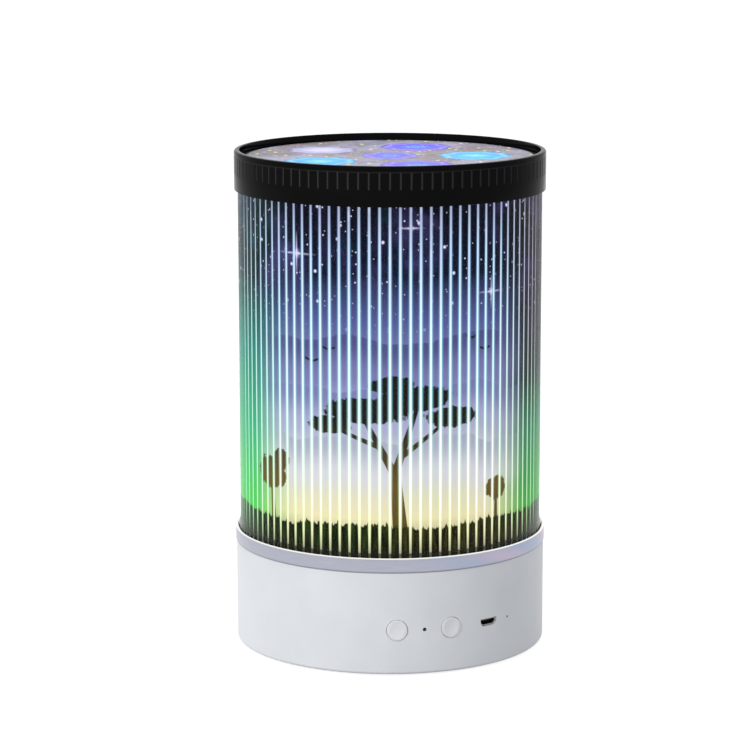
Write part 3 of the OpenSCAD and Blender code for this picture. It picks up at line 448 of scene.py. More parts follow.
def pictureColour(f, at, x, y, z):
    turn = x.maths("ARCTAN2", -y)
    seen = turn - front
    # two like halves, each with its own noise, so that the picture closes behind
    u = seen.maths("WRAP", pi / 2, -pi / 2) * picture["radius"]
    middle = f.step((seen * 2).maths("COSINE"), -0.62, 0.35)
    leftness = 1 - f.step(seen.wave(), -0.35, 0.35)
    colour = f.threeRamps(z, picture["sky"], middle, leftness)
    colour = nightSky(f, at, seen, u, z, leftness, colour)

    # ridges in mist, the nearer the paler
    for i, (height, swing, scale, deep, edge) in enumerate(picture["ridges"]):
        rock = f.noise(f.vector(x, y, 31.0 * (i + 1)), scale, 7.0, 0.52)
        depth = rock * (2 * swing) + (height - swing) - z
        inside = f.step(depth, 0.0, 0.5) * middle
        paint = f.mix(f.step(depth, 2.0, 15.0), tone(*deep), tone(*edge))
        colour = f.mix(inside * (1 - f.step(depth, 14.0, 24.0)) * 0.9, colour, paint)

    colour = f.mix(againstTheLight(f, at, u, z), colour, f.heightRamp(z, picture["shade"]))
    blades = f.noise(f.vector(seen * picture["radius"], z * 0.12, 3.0), 0.75, 3.0, 0.7)
    hill = f.noise(f.vector(x, y, 0.0), 0.022, 2.0) * 9.0 + picture["ground"] - 6.0
    grass = f.step(hill + blades * 6.5 - z, 0.0, 0.5)
    ground = f.mix(leftness * 0.6, tone(62, 58, 26), tone(10, 58, 22))
    ground = f.mix(f.step(blades, 0.35, 0.7), tone(13, 12, 7), ground)
    ground = f.mix(1 - f.step(z, 46.5, 51.5), ground, tone(27, 26, 22))
    colour = f.mix(grass, colour, ground)

    # light that creeps out of each slit over the edges of its bars
    pitch = radians(picture["pitch"])
    across = abs((turn / pitch + 0.5).maths("FRACT") - 0.5)
    gap = across * (pitch * picture["radius"]) - picture["slit"] / 2
    reach = f.ramp((z - 42) / 150, [(at, (v, v, v, 1)) for at, v in picture["creepReach"]])
    creep = (1 - gap / (reach * 1.15 + 0.02)).atLeast(0.0) ** 2.0
    return f.mix(creep * 0.85, colour, f.threeRamps(z, picture["creep"], middle, leftness))


def printedFilm():
    f = Finish("printedFilm")
    at, x, y, z = f.place()
    colour = pictureColour(f, at, x, y, z)
    fine = f.noise(at, 1.5, 2.0)
    ink = f.mix(0.68, colour, (0, 0, 0, 1))
    # painted light: the print glows, standing in for the lamp's light shining through it from
    # inside
    return f.done(f.principled(colour=ink, rough=fine * 0.15 + 0.35, shine=0.04, glow=colour,
                               glowStrength=0.8, normal=f.bump(fine, 0.01)))


# the drum's light by height: warm at the foot, white, then lilac below the top ring
drumLight = {
    "middle": [(45, (120, 110, 95)), (55, (245, 248, 200)), (66, (254, 255, 242)),
               (132, (232, 253, 254)), (165, (210, 228, 246)), (192, (140, 138, 155))],
    "left": [(45, (80, 95, 75)), (60, (178, 255, 214)), (80, (220, 255, 240)),
             (138, (226, 254, 253)), (170, (200, 222, 246)), (188, (95, 100, 120))],
    "right": [(45, (70, 75, 70)), (60, (200, 246, 186)), (90, (226, 250, 235)),
              (136, (206, 192, 218)), (172, (188, 172, 200)), (188, (100, 88, 105))],
}


def motionFilm():
    # light and dark swirls that wander past the slits as the drum turns
    f = Finish("motionFilm")
    at, x, y, z = f.place()
    seen = x.maths("ARCTAN2", -y) - front
    # painted light: the film glows with the drum's light, by height and brightest in the middle of
    # the view
    middle = f.step(seen.maths("COSINE"), 0.2, 0.72)
    leftness = 1 - f.step(seen.wave(), -0.35, 0.35)
    colour = f.threeRamps(z, drumLight, middle, leftness)
    swirl = ((seen * 9 + z * 0.09) + f.noise(at, 0.03, 3.0) * 5).wave() * 0.5 + 0.5
    high = f.step(z, 130, 172)
    colour = f.mix(swirl * (high * 0.22 + 0.03), colour, tone(150, 150, 200))
    spots = 1 - f.step(f.cells(at, 0.11), 0.18, 0.3)
    colour = f.mix(spots * high * 0.3, colour, tone(236, 240, 255))
    ink = f.mix(0.75, colour, (0, 0, 0, 1))
    return f.done(f.principled(colour=ink, rough=spots * 0.05 + 0.4, shine=0.05, glow=colour,
                               glowStrength=1.0))


def diffuserFinish():
    f = Finish("diffuser")
    at, x, y, z = f.place()
    cloud = f.noise(at, 0.3, 3.0)
    paint = f.mix(cloud, tone(214, 220, 226), tone(232, 236, 240))
    return f.done(f.principled(colour=paint, rough=cloud * 0.1 + 0.5, glow=paint,
                               glowStrength=0.45))


discArt = {"sector": 72, "ring": 33.5, "size": 14.5, "hub": 11.5,
           # each medallion's heart, body and rim, dealt out by its place
           "cyan": [(0.0, (150, 226, 250)), (0.2, (64, 196, 244)), (0.6, (46, 158, 226)),
                    (0.85, (70, 190, 240)), (0.98, (40, 110, 170))],
           "blue": [(0.0, (70, 150, 246)), (0.3, (70, 96, 246)), (0.62, (98, 84, 246)),
                    (0.86, (124, 92, 240)), (0.98, (60, 50, 150))],
           "pale": [(0.0, (206, 200, 226)), (0.4, (188, 186, 214)), (0.75, (160, 150, 196)),
                    (0.98, (98, 88, 130))],
           "rings": (186, 214, 246),
           # specks: scale of the pattern, size, share of cells left empty, colour
           "specks": [(0.1, 0.1, 0.4, (240, 240, 120)), (0.26, 0.11, 0.6, (226, 226, 244)),
                      (0.09, 0.085, 0.4, (236, 120, 200))]}


def medallion(f, base, du, dv, size, petals, deal):
    # a round medallion with soft petals and a few fine rings
    reach = du.along(dv) / size
    lobe = (dv.maths("ARCTAN2", du) * petals + deal * 1.3).wave()
    cyan, blue, pale = (f.ramp(reach + lobe * 0.05, [(at, tone(*c)) for at, c in discArt[k]])
                        for k in ("cyan", "blue", "pale"))
    body = f.mix(f.step(deal, 0.5, 0.6), cyan, blue)
    body = f.mix(f.step(deal, 1.5, 1.6), body, pale)
    rings = f.step(abs((reach * 6.0 + lobe * 0.4).wave()), 0.93, 1.0) * 0.3
    body = f.mix(rings, body, tone(*discArt["rings"]))
    return f.mix(1 - f.step(reach + lobe * 0.015, 0.94, 1.0), base, body)


def discFinish():
    f = Finish("discPrint")
    at, x, y, z = f.place()
    cloud = f.noise(at, 0.05, 4.0)
    grit = f.noise(at, 0.4, 4.0, 0.7)
    colour = f.mix(f.step(cloud, 0.35, 0.65), tone(118, 108, 112), tone(142, 144, 168))
    shadow = f.step(f.noise(at, 0.12, 3.0), 0.45, 0.7) * 0.6
    colour = f.mix(shadow, colour, tone(76, 72, 92))
    colour = f.mix(f.step(grit, 0.45, 0.75) * 0.35, colour, tone(176, 166, 164))
    for scale, size, share, paint in discArt["specks"]:
        flat = f.vector(x + 40 * scale, y, 0.0)
        colour = f.mix(f.specks(flat, scale, size, share, 0.6, 0.08), colour, tone(*paint))

    # the disc's sectors are folded onto one, which holds one medallion
    sector = radians(discArt["sector"])
    turn = y.maths("ARCTAN2", x) - front
    number = (turn / sector + 0.5).maths("FLOOR")
    folded = turn - number * sector
    away = x.along(y)
    across, up = away * folded.maths("COSINE") - discArt["ring"], away * folded.wave()
    deal = number.maths("FLOORED_MODULO", 360 / discArt["sector"]).maths("FLOORED_MODULO", 3.0)
    colour = medallion(f, colour, across, up, discArt["size"], 8, deal)
    colour = medallion(f, colour, x, y, discArt["hub"], 6, 1.0)
    # painted light: the print glows, standing in for the lamp's light from below
    ink = f.mix(0.5, colour, (0, 0, 0, 1))
    return f.done(f.principled(colour=ink, rough=cloud * 0.1 + 0.28, shine=0.1, glow=colour,
                               glowStrength=0.7, normal=f.bump(cloud, 0.02)))


def clearPlastic():
    # clear, with a reflection that grows towards the edges
    f = Finish("clearPlastic")
    at, x, y, z = f.place()
    haze = f.noise(at, 0.12, 3.0)
    clear = f.node("ShaderNodeBsdfTransparent", None, {"Color": (0.985, 0.99, 0.995, 1)})
    tint = f.mix(haze, (0.9, 0.92, 0.95, 1), (1, 1, 1, 1))
    gloss = f.principled(colour=tint, metal=1.0, rough=haze * 0.03 + 0.02)
    edge = f.node("ShaderNodeFresnel", None, {"IOR": 1.09})
    leaving = f.node("ShaderNodeNewGeometry", out="Backfacing")
    share = edge * (1 - leaving)
    return f.done(f.node("ShaderNodeMixShader", None, {0: share, 1: clear, 2: gloss}))


# the top ring's flutes, for its finish and its shape
flutes = {"count": 96, "half": 0.42, "radius": 61.5, "low": 188.5, "high": 195.2,
          "border": 0.09, "depth": 0.25}


def blackGloss():
    # lacquered black, with the flutes left dull by the mould and painted lighter grey as a
    # highlight, and a painted highlight line along their top
    f = Finish("blackGloss")
    at, x, y, z = f.place()
    slow = f.noise(at, 0.05, 3.0)
    fine = f.noise(at, 0.9, 3.0)
    pitch = 2 * pi / flutes["count"]
    turn = x.maths("ARCTAN2", -y) / pitch
    across = abs((turn + 0.5).maths("FRACT") - 0.5) * (pitch * flutes["radius"])
    outside = f.step(x.along(y), 60.9, 61.0)
    flute = (1 - f.step(across, flutes["half"] - 0.12, flutes["half"] + 0.02)) * outside
    flute = flute * f.step(z, flutes["low"] - 0.1, flutes["low"] + 0.2)
    flute = flute * (1 - f.step(z, flutes["high"], flutes["high"] + 0.2))
    # painted highlight: a faint lighter line along the top of the flutes
    line = (1 - f.step(abs(z - flutes["high"]), 0.12, 0.3)) * outside * 0.35
    flute = flute.atLeast(line)
    # the flutes painted lighter grey: painted highlight
    paint = f.mix(flute, f.mix(slow, tone(5, 5, 6), tone(10, 10, 11)), tone(56, 56, 58))
    return f.done(f.principled(colour=paint, shine=0.01, coat=0.06 * (1 - flute), coatRough=0.05,
                               rough=slow * 0.06 + fine * 0.04 + 0.1 + flute * 0.4,
                               normal=f.bump(fine, 0.002)))


def silverPlastic():
    # satin silver band under a polished upper edge, with painted pink and blue sheen on the right
    # side, a painted highlight along the upper edge and painted shade along its foot
    f = Finish("silverPlastic")
    at, x, y, z = f.place()
    turn = x.maths("ARCTAN2", -y) - front
    marks = f.noise(f.vector(turn * 6.0, z * 9.0, 1.0), 1.0, 4.0, 0.6)
    paint = f.mix(f.step(marks, 0.3, 0.7), tone(158, 160, 175), tone(176, 177, 189))
    # painted sheen: pink and blue bands on the side to the right of the view
    paintedSheen = (turn * 9 + z * 0.45).wave() * 0.5 + 0.5
    right = f.step(turn.wave(), 0.05, 0.7)
    paint = f.mix(paintedSheen * right * 0.4, paint, tone(194, 168, 196))
    paint = f.mix((1 - paintedSheen) * right * 0.45, paint, tone(136, 164, 196))
    # painted shade: darker along the foot of the ring
    paint = f.mix(f.step(z, 41.3, 41.9), tone(132, 132, 142), paint)
    # painted highlight: near white along the polished upper edge, which is also more metallic and
    # smoother
    edge = f.step(z, 46.5, 46.65)
    paint = f.mix(edge, paint, tone(252, 252, 246))
    return f.done(f.principled(colour=paint, metal=0.8 + edge * 0.2,
                               rough=marks * 0.1 + 0.28 - edge * 0.12,
                               normal=f.bump(marks, 0.004)))


def cellWrap():
    # shrunk film round the cell, with bare metal ends
    f = Finish("cellWrap")
    at, x, y, z = f.place()
    crease = f.noise(f.vector(x * 0.2, y, z), 0.7, 4.0)
    ends = f.step(abs(x), 31.6, 31.8)
    paint = f.mix(ends, f.mix(crease, tone(30, 78, 146), tone(52, 112, 190)), tone(206, 206, 204))
    return f.done(f.principled(colour=paint, metal=ends, rough=crease * 0.2 + 0.25,
                               normal=f.bump(crease, 0.05)))


finishes = {
    "white": moulded("whitePlastic", (229, 232, 237), 0.42, 0.3, 0.006),
    "button": moulded("buttonPlastic", (232, 234, 239), 0.36, 0.25, 0.004),
    "black": moulded("blackPlastic", (30, 30, 33), 0.5, 0.4, 0.02),
    "cream": moulded("creamPlastic", (232, 225, 205), 0.45, 0.35, 0.015),
    "rubber": moulded("footRubber", (52, 53, 56), 0.75, 0.5, 0.05, 0.3),
    "chip": moulded("chipResin", (34, 35, 38), 0.6, 0.25, 0.02),
    "gear": moulded("gearPlastic", (236, 236, 230), 0.38, 0.5, 0.01),
    "post": moulded("postPlastic", (226, 228, 230), 0.5, 0.4, 0.02),
    "steel": metal("screwSteel", (176, 177, 182), 0.34),
    "bright": metal("brightSteel", (206, 207, 212), 0.22),
    "motorCan": metal("motorCan", (188, 189, 192), 0.32, (1, 1, 4)),
    "brass": metal("brassGearbox", (206, 178, 112), 0.33, (1, 8, 1)),
    "contact": metal("contactPlate", (206, 202, 190), 0.28, (1, 1, 6)),
    "socketSteel": socketSteel(),
    "board": boardFinish("circuitBoard", (24, 92, 52), (206, 176, 96)),
    "lightBoard": boardFinish("lightBoard", (226, 228, 230), (200, 200, 204)),
    "led": moulded("ledLens", (58, 55, 52), 0.3, 0.3, 0.01),
    # painted shade: dark and grey windows that stand in for the shade in the holes of the lights
    "holeShade": moulded("holeShadeWindow", (10, 10, 12), 0.2, 0.3, 0.002, 0.3),
    "grey": moulded("greyWindow", (112, 112, 114), 0.3, 0.3, 0.002, 0.3),
    "socketBlack": moulded("socketBlack", (20, 20, 23), 0.5, 0.3, 0.01, 0.2),
    "gold": metal("goldContact", (212, 176, 96), 0.25),
    "emitter": glowing("emitter", (255, 246, 214), 1.0),
    "dome": glowing("frostedDome", (238, 242, 248), 0.7),
    "diffuser": diffuserFinish(),
    "film": printedFilm(),
    "motion": motionFilm(),
    "disc": discFinish(),
    "clear": clearPlastic(),
    "gloss": blackGloss(),
    "silver": silverPlastic(),
    "cell": cellWrap(),
    "redLead": leadFinish("redLead", (190, 40, 36)),
    "blackLead": leadFinish("blackLead", (36, 36, 38)),
    "whiteLead": leadFinish("whiteLead", (222, 222, 220)),
}

wears = {
    "white": ["base_shell", "bottom_cover"], "button": ["light_button", "motion_button"],
    "black": ["usb_tongue", "battery_tray", "light_switch", "motion_switch", "light_plunger",
              "motion_plunger", "motor_end_cap"],
    "cream": ["lead_sockets", "pinion"], "rubber": ["rubber_feet"], "chip": ["control_chips"],
    "gear": ["gear_ring", "roller_1", "roller_2", "roller_3"], "post": ["lamp_post"],
    "steel": ["cover_screws", "board_screws", "tray_screws", "motor_screws", "post_screws",
              "light_board_screws"],
    "bright": ["roller_pins", "motor_shaft"], "motorCan": ["motor_can"], "brass": ["gearbox"],
    "contact": ["battery_contacts"], "socketSteel": ["usb_socket"], "board": ["main_board"],
    "lightBoard": ["light_board"], "led": ["status_led", "charge_led"],
    "emitter": ["light_emitters"], "dome": ["lens_dome"], "diffuser": ["diffuser_tube"],
    "film": ["picture_film"], "motion": ["motion_film"], "disc": ["star_disc"],
    "clear": ["clear_sleeve"], "gloss": ["top_ring", "drum_cap"], "silver": ["trim_ring"],
    "cell": ["battery_cell"], "redLead": ["battery_leads"], "blackLead": ["motor_leads"],
    "whiteLead": ["light_leads"],
}
finishOf = {node: name for name, members in wears.items() for node in members}
for name, node in nodes.items():
    for slot in node.material_slots:
        slot.material = finishes[finishOf[name]]
print("finishes done,", len(finishes))


def activate(piece):
    deselect()
    piece.select_set(True)
    bpy.context.view_layer.objects.active = piece


def settle(piece):
    # puts the piece's place, turn and scale into its mesh
    activate(piece)
    bpy.ops.object.transform_apply(location=True, rotation=True, scale=True)


def settled(name):
    # the primitive that was just added
    piece = bpy.context.object
    piece.name = name
    settle(piece)
    return piece


def edit():
    bpy.ops.object.mode_set(mode="EDIT")


def leaveEdit():
    bpy.ops.object.mode_set(mode="OBJECT")


def pick(piece, kind, wanted):
    # in edit mode, selects the faces or edges for which wanted is true
    bpy.ops.mesh.select_mode(type=kind)
    bpy.ops.mesh.select_all(action="DESELECT")
    mesh = bmesh.from_edit_mesh(piece.data)
    found = [part for part in (mesh.faces if kind == "FACE" else mesh.edges) if wanted(part)]
    for part in found:
        part.select = True
    mesh.select_flush_mode()
    bmesh.update_edit_mesh(piece.data)
    return len(found)


def extrude(x=0.0, y=0.0, z=0.0):
    # draws what is selected out by millimetres
    bpy.ops.mesh.extrude_region_move(TRANSFORM_OT_translate={"value": (x * mm, y * mm, z * mm)})


def faceOutwards():
    bpy.ops.mesh.select_all(action="SELECT")
    bpy.ops.mesh.normals_make_consistent(inside=False)


def turned(name, profile, sides, start=0.0, closed=True):
    # a ring is drawn out from point to point of the profile, each (radius, height)
    radius, height = profile[0]
    deselect()
    bpy.ops.mesh.primitive_circle_add(vertices=sides, radius=radius * mm,
                                      location=(0, 0, height * mm), rotation=(0, 0, start))
    piece = settled(name)
    edit()
    bpy.ops.mesh.select_mode(type="VERT")
    bpy.ops.mesh.select_all(action="SELECT")
    path = profile + profile[:1] if closed else profile
    for (r0, z0), (r1, z1) in zip(path, path[1:]):
        extrude(z=z1 - z0)
        bpy.ops.transform.resize(value=(r1 / r0, r1 / r0, 1), center_override=(0, 0, z1 * mm))
    bpy.ops.mesh.select_all(action="SELECT")
    bpy.ops.mesh.remove_doubles(threshold=0.0005 * mm)
    if not closed:
        bpy.ops.mesh.fill_holes(sides=0)
    faceOutwards()
    leaveEdit()
    return piece


def cylinder(name, radius, low, high, sides, place=(0, 0)):
    deselect()
    bpy.ops.mesh.primitive_cylinder_add(vertices=sides, radius=radius * mm,
                                        depth=(high - low) * mm,
                                        location=(place[0] * mm, place[1] * mm,
                                                  (low + high) / 2 * mm))
    return settled(name)


def box(name, low, high):
    deselect()
    bpy.ops.mesh.primitive_cube_add(size=1, scale=[(b - a) * mm for a, b in zip(low, high)],
                                    location=[(a + b) / 2 * mm for a, b in zip(low, high)])
    return settled(name)


def copyOf(piece, move=(0, 0, 0), turn=0.0):
    # a copy with its own mesh, moved and turned about the lamp's axis
    activate(piece)
    bpy.ops.object.duplicate(linked=False)
    copy = bpy.context.object
    copy.location = move
    copy.rotation_euler = (0, 0, turn)
    settle(copy)
    return copy


def turnTo(piece, degrees):
    piece.rotation_euler = (0, 0, radians(degrees))
    settle(piece)


def copiesRound(piece, count, first):
    # turns the piece to its first place, in degrees from -Y, and spreads its copies evenly
    copies = [copyOf(piece, turn=radians(first + i * 360 / count)) for i in range(1, count)]
    turnTo(piece, first)
    return [piece] + copies


def carve(piece, tool, how):
    # cuts the piece with the tool, which is then thrown away
    activate(piece)
    cutter = piece.modifiers.new("cutter", "BOOLEAN")
    cutter.operation = how
    cutter.solver = "EXACT"
    cutter.object = tool
    bpy.ops.object.modifier_apply(modifier=cutter.name)
    bpy.data.objects.remove(tool, do_unlink=True)


def soften(piece, width, steps=2, angle=40):
    # breaks the sharp edges and shades the rest smooth
    activate(piece)
    edge = piece.modifiers.new("softEdges", "BEVEL")
    edge.width = width * mm
    edge.segments = steps
    edge.limit_method = "ANGLE"
    edge.angle_limit = radians(angle)
    bpy.ops.object.modifier_apply(modifier=edge.name)
    bpy.ops.object.shade_smooth_by_angle(angle=radians(angle))


def join(pieces, name):
    deselect()
    for piece in pieces:
        piece.select_set(True)
    bpy.context.view_layer.objects.active = pieces[0]
    bpy.ops.object.join()
    pieces[0].name = name
    return pieces[0]


def finishPiece(piece, finish, body, slot, *replaced):
    piece.data.materials.clear()
    piece.data.materials.append(finishes[finish])
    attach(piece, body)
    if replaced:
        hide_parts(*replaced)


def turnOf(face, count):
    # how far round from -Y the face's middle is, in shares of one of count parts
    spot = face.calc_center_median()
    turn = Vector((0, -1)).angle_signed(Vector((spot.x, spot.y)), 0)
    share = (turn * count / (2 * pi)) % 1
    return min(share, 1 - share)


sleeve = {"outer": 60.9, "inner": 60.1, "low": 42.2, "high": 190.0, "rim": 0.2, "sides": 384}


def makeSleeve():
    s = sleeve
    piece = turned("clearSleeve", [(s["outer"], s["low"]), (s["outer"], s["high"]),
                                   (s["inner"], s["high"]), (s["inner"], s["low"])], s["sides"])
    soften(piece, s["rim"])
    finishPiece(piece, "clear", "base", "clear_plastic", "clear_sleeve")


# a sheet rolled into a tube, with each slit three of its fourteen strips wide
film = {"radius": 60.0, "thick": 0.1, "low": 42.2, "border": 2.0, "high": 190.0, "slits": 96,
        "strips": 14, "open": 3}


def makeFilm():
    t = film
    sides = t["slits"] * t["strips"]
    levels = [t["low"], t["low"] + t["border"], t["high"] - t["border"], t["high"]]
    deselect()
    bpy.ops.mesh.primitive_circle_add(vertices=sides, radius=t["radius"] * mm,
                                      location=(0, 0, t["low"] * mm), rotation=(0, 0, pi / sides))
    piece = settled("pictureFilm")
    edit()
    bpy.ops.mesh.select_all(action="SELECT")
    for low, high in zip(levels, levels[1:]):
        extrude(z=high - low)
    faceOutwards()

    def isSlit(face):
        isInside = levels[1] < face.calc_center_median().z / mm < levels[2]
        return isInside and turnOf(face, t["slits"]) < t["open"] / 2 / t["strips"]

    print("slit faces:", pick(piece, "FACE", isSlit))
    bpy.ops.mesh.delete(type="FACE")
    leaveEdit()
    wall = piece.modifiers.new("wall", "SOLIDIFY")
    wall.thickness = t["thick"] * mm
    wall.offset = -1
    bpy.context.view_layer.objects.active = piece
    bpy.ops.object.modifier_apply(modifier=wall.name)
    bpy.ops.object.shade_smooth_by_angle(angle=radians(30))
    finishPiece(piece, "film", "base", "printed_film", "picture_film")


trim = {"outer": 62.0, "lip": 61.05, "floor": 59.2, "low": 41.0, "seat": 42.2, "high": 47.0,
        "chamfer": 0.3, "softness": 0.06, "sides": 384,
        "pegs": 6, "firstPeg": 30, "pegPlace": 60.6, "pegRadius": 0.6, "pegLow": 38.5,
        "pegRoot": 0.4, "pegTip": 0.2, "pegSoftness": 0.15, "pegSides": 24}


def makeTrim():
    t = trim
    c = t["chamfer"]
    ring = turned("trimRing", [(t["floor"], t["low"]), (t["outer"] - c, t["low"]),
                               (t["outer"], t["low"] + c), (t["outer"], t["high"] - c),
                               (t["outer"] - c, t["high"]), (t["lip"], t["high"]),
                               (t["lip"], t["seat"]), (t["floor"], t["seat"])], t["sides"])
    soften(ring, t["softness"], 2, 30)
    peg = cylinder("peg", t["pegRadius"], t["pegLow"], t["low"] + t["pegRoot"], t["pegSides"],
                   (0, -t["pegPlace"]))
    edit()
    pick(peg, "FACE", lambda face: face.normal.z < -0.9)
    bpy.ops.mesh.inset(thickness=t["pegTip"] * mm, depth=0)
    leaveEdit()
    soften(peg, t["pegSoftness"])
    ring = join([ring] + copiesRound(peg, t["pegs"], t["firstPeg"]), "trimRing")
    finishPiece(ring, "silver", "base", "silver_plastic", "trim_ring")


# face, flange and stem are given by their distance from the lamp's axis
button = {"radius": 4.0, "face": 62.0, "spare": 1, "flange": 5.4, "flangeOut": 59.104,
          "flangeIn": 58.004, "stem": 2.0, "stemIn": 55.604, "height": 18.5, "dishRadius": 3.2,
          "dishDepth": 0.25, "edge": 0.28, "sides": 96, "wallSides": 720, "dishSides": 128}


def makeButton(name, angle, body, node):
    b = button
    # laid down, so that it points out of the lamp
    piece = cylinder(name, b["radius"], 0, b["face"] + b["spare"] - b["flangeOut"], b["sides"])
    piece.rotation_euler = (pi / 2, 0, 0)
    piece.location = (0, -b["flangeOut"] * mm, b["height"] * mm)
    settle(piece)
    edit()
    pick(piece, "FACE", lambda face: face.normal.y > 0.9)
    level = b["flangeOut"]
    for radius, before, end in ((b["flange"], b["radius"], b["flangeIn"]),
                                (b["stem"], b["flange"], b["stemIn"])):
        extrude()
        bpy.ops.transform.resize(value=(radius / before, 1, radius / before),
                                 center_override=(0, -level * mm, b["height"] * mm))
        extrude(y=level - end)
        level = end
    faceOutwards()
    leaveEdit()

    # the face takes the curve of the shell's wall, and a ball leaves a shallow dish in it
    carve(piece, cylinder("wallCurve", b["face"], 0, 4 * b["height"], b["wallSides"]), "INTERSECT")
    ball = (b["dishRadius"] ** 2 + b["dishDepth"] ** 2) / (2 * b["dishDepth"])
    deselect()
    bpy.ops.mesh.primitive_uv_sphere_add(segments=b["dishSides"], ring_count=2 * b["dishSides"],
                                         radius=ball * mm, rotation=(pi / 2, 0, 0),
                                         location=(0, -(b["face"] - b["dishDepth"] + ball) * mm,
                                                   b["height"] * mm))
    carve(piece, bpy.context.object, "DIFFERENCE")
    soften(piece, b["edge"], 3, 50)
    turnTo(piece, angle)
    finishPiece(piece, "button", body, "button_plastic", node)


socket = {"angle": 16, "width": 7.5, "height": 2.6, "wall": 0.3, "length": 5.6, "mouth": 61.0,
          "base": 17.0, "corner": 1.1, "topCorner": 0.45, "softness": 0.07, "backWall": 1.0,
          "block": 0.7, "blockSide": 1.5, "blockGap": 0.05,
          "tongue": 3.8, "tongueLow": 18.4, "tongueHigh": 19.0, "tongueMouth": 60.2,
          "tongueSoftness": 0.08, "contactSoftness": 0.03, "contacts": 5, "contactPitch": 0.65,
          "contactWidth": 0.38, "contactLow": 0.06, "contactTop": 0.05,
          "contactFront": 0.3, "contactBack": 0.1}


def makeSocket():
    k = socket
    half = k["width"] / 2
    back = k["mouth"] - k["length"]
    top = k["base"] + k["height"]
    shell = box("socketShell", (-half, -k["mouth"], k["base"]), (half, -back, top))
    edit()
    for high, width, steps in ((False, k["corner"], 1), (True, k["topCorner"], 4)):

        def isCorner(edge):
            a, b = (vert.co for vert in edge.verts)
            return abs(a.y - b.y) > mm and (a.z / mm > k["base"] + 1) == high

        pick(shell, "EDGE", isCorner)
        bpy.ops.mesh.bevel(offset=width * mm, segments=steps, affect="EDGES")
    pick(shell, "FACE", lambda face: face.normal.y < -0.9)
    bpy.ops.mesh.inset(thickness=k["wall"] * mm, depth=0)
    extrude(y=k["length"] - k["backWall"])
    faceOutwards()
    leaveEdit()
    soften(shell, k["softness"], 2, 50)

    # the tongue grows out of a block at the socket's back
    blockFace = back + k["backWall"] + k["block"]
    blockHalf = half - k["blockSide"]
    inset = k["wall"] + k["blockGap"]
    tongue = box("socketTongue", (-blockHalf, -blockFace, k["base"] + inset),
                 (blockHalf, -back - k["backWall"], top - inset))
    edit()
    pick(tongue, "FACE", lambda face: face.normal.y < -0.9)
    extrude()
    centre = k["base"] + k["height"] / 2
    thick = (k["tongueHigh"] - k["tongueLow"]) / (k["height"] - 2 * inset)
    bpy.ops.transform.resize(value=(k["tongue"] / (2 * blockHalf), 1, thick),
                             center_override=(0, -blockFace * mm, centre * mm))
    middle = (k["tongueLow"] + k["tongueHigh"]) / 2
    bpy.ops.transform.translate(value=(0, 0, (middle - centre) * mm))
    extrude(y=blockFace - k["tongueMouth"])
    faceOutwards()
    leaveEdit()
    soften(tongue, k["tongueSoftness"])

    # flat contacts under the tongue
    first = -(k["contacts"] - 1) / 2 * k["contactPitch"]
    strip = box("contact", (first - k["contactWidth"] / 2, -k["tongueMouth"] + k["contactFront"],
                            k["tongueLow"] - k["contactLow"]),
                (first + k["contactWidth"] / 2, -blockFace - k["contactBack"],
                 k["tongueLow"] + k["contactTop"]))
    soften(strip, k["contactSoftness"])
    copies = [copyOf(strip, (i * k["contactPitch"] * mm, 0, 0)) for i in range(1, k["contacts"])]
    contacts = join([strip] + copies, "socketContacts")
    for piece in (shell, tongue, contacts):
        turnTo(piece, k["angle"])
    finishPiece(shell, "socketSteel", "base", "bright_steel", "usb_socket")
    finishPiece(tongue, "socketBlack", "base", "black_plastic", "usb_tongue")
    finishPiece(contacts, "gold", "base", "bright_steel")


# dark windows in the holes of the two lights, painted shade standing in for the dark inside of the
# holes: angle and radius of each
windows = {"status": (-10, 0.71), "charge": (25.5, 0.41), "height": 18.5, "face": 61.55,
           "back": 59.7, "edge": 0.12, "sides": 40}


def makeWindow(name, finish):
    w = windows
    angle, radius = w[name]
    piece = cylinder(name + "Window", radius, 0, w["face"] - w["back"], w["sides"])
    piece.rotation_euler = (pi / 2, 0, 0)
    piece.location = (0, -w["back"] * mm, w["height"] * mm)
    settle(piece)
    soften(piece, w["edge"], 3)
    turnTo(piece, angle)
    finishPiece(piece, finish, "base", "led_lens")


foot = {"count": 4, "first": 45, "radius": 5.5, "height": 1.8, "edge": 0.4, "place": 43.0,
        "dimple": 3.4, "dimpleDepth": 0.2, "softness": 0.12, "sides": 72}


def makeFeet():
    t = foot
    piece = cylinder("rubberFeet", t["radius"], t["edge"], t["height"], t["sides"],
                     (0, -t["place"]))
    edit()
    pick(piece, "FACE", lambda face: face.normal.z < -0.9)
    bpy.ops.mesh.inset(thickness=t["edge"] * mm, depth=0)
    extrude(z=-t["edge"])
    extrude()
    grow = t["dimple"] / (t["radius"] - t["edge"])
    bpy.ops.transform.resize(value=(grow, grow, 1),
                             center_override=(0, -t["place"] * mm, t["edge"] * mm))
    extrude(z=t["dimpleDepth"])
    faceOutwards()
    leaveEdit()
    soften(piece, t["softness"])
    feet = join(copiesRound(piece, t["count"], t["first"]), "rubberFeet")
    finishPiece(feet, "rubber", "base", "rubber", "rubber_feet")


topRing = {"inner": 61.0, "outer": 61.5, "bore": 59.4, "low": 182.1, "shoulder": 190.0,
           "high": 197.5, "round": 0.9, "softness": 0.1, "sides": 480}


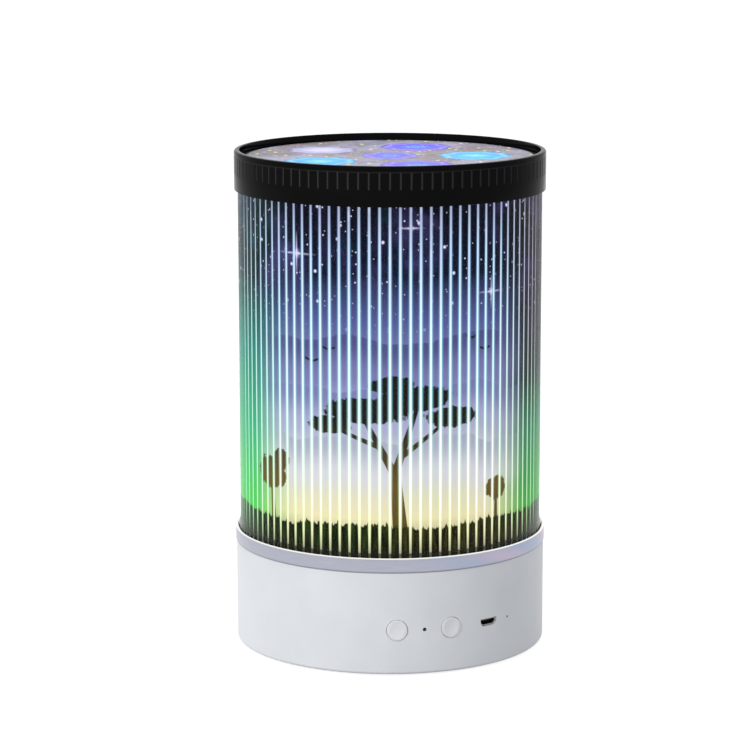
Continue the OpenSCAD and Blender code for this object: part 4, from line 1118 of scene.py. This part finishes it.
def makeTopRing():
    t = topRing
    r = t["round"]
    rim = [(t["outer"] - r + r * cos(radians(a)), t["high"] - r + r * sin(radians(a)))
           for a in range(0, 91, 15)]
    wall = [(t["inner"], t["low"])] + [(t["outer"], z) for z in
                                       (t["low"], flutes["low"], flutes["high"])]
    bore = [(t["bore"], t["high"]), (t["bore"], t["shoulder"]), (t["inner"], t["shoulder"])]
    # half a side of turn puts a face, and so a flute, in front
    piece = turned("topRing", wall + rim + bore, t["sides"], pi / t["sides"])
    soften(piece, t["softness"], 2, 50)

    def isFlute(face):
        spot = face.calc_center_median()
        outside = hypot(spot.x, spot.y) >= (t["outer"] - 0.05) * mm
        level = flutes["low"] < spot.z / mm < flutes["high"]
        return outside and level and turnOf(face, flutes["count"]) < 0.05

    edit()
    print("flutes:", pick(piece, "FACE", isFlute))
    bpy.ops.mesh.inset(thickness=flutes["border"] * mm, depth=-flutes["depth"] * mm,
                       use_individual=True)
    leaveEdit()
    bpy.ops.object.shade_smooth_by_angle(angle=radians(30))
    finishPiece(piece, "gloss", "base", "black_gloss", "top_ring")


cap = {"profile": [(54.5, 192.1), (57.9, 192.1), (57.9, 184.1), (58.6, 184.1), (58.6, 194.8),
                   (57.1, 194.8), (57.1, 193.6), (54.5, 193.6)], "softness": 0.15, "sides": 288}


def makeCap():
    piece = turned("drumCap", cap["profile"], cap["sides"])
    soften(piece, cap["softness"])
    finishPiece(piece, "gloss", "drum", "black_gloss", "drum_cap")


disc = {"radius": 57.0, "low": 193.6, "high": 194.8, "softness": 0.2, "border": 0.8,
        "groove": 0.15, "grooveDepth": 0.06, "sides": 288}


def makeDisc():
    d = disc
    piece = turned("starDisc", [(d["radius"], d["low"]), (d["radius"], d["high"])], d["sides"],
                   closed=False)
    soften(piece, d["softness"], 3)
    edit()
    pick(piece, "FACE", lambda face: face.normal.z > 0.9
         and face.calc_center_median().xy.length < 5 * mm)
    bpy.ops.mesh.inset(thickness=d["border"] * mm, depth=0)
    bpy.ops.mesh.inset(thickness=d["groove"] * mm, depth=-d["grooveDepth"] * mm)
    leaveEdit()
    finishPiece(piece, "disc", "drum", "star_disc", "star_disc")


makeSleeve()
makeFilm()
makeTrim()
makeTopRing()
print("sleeve and rings done")
makeButton("lightButton", -20, "light_key", "light_button")
makeButton("motionButton", 0, "motion_key", "motion_button")
makeSocket()
makeWindow("status", "holeShade")
makeWindow("charge", "grey")
makeFeet()
print("buttons, socket, windows and feet done")
makeCap()
makeDisc()
print("drum cap and disc done")
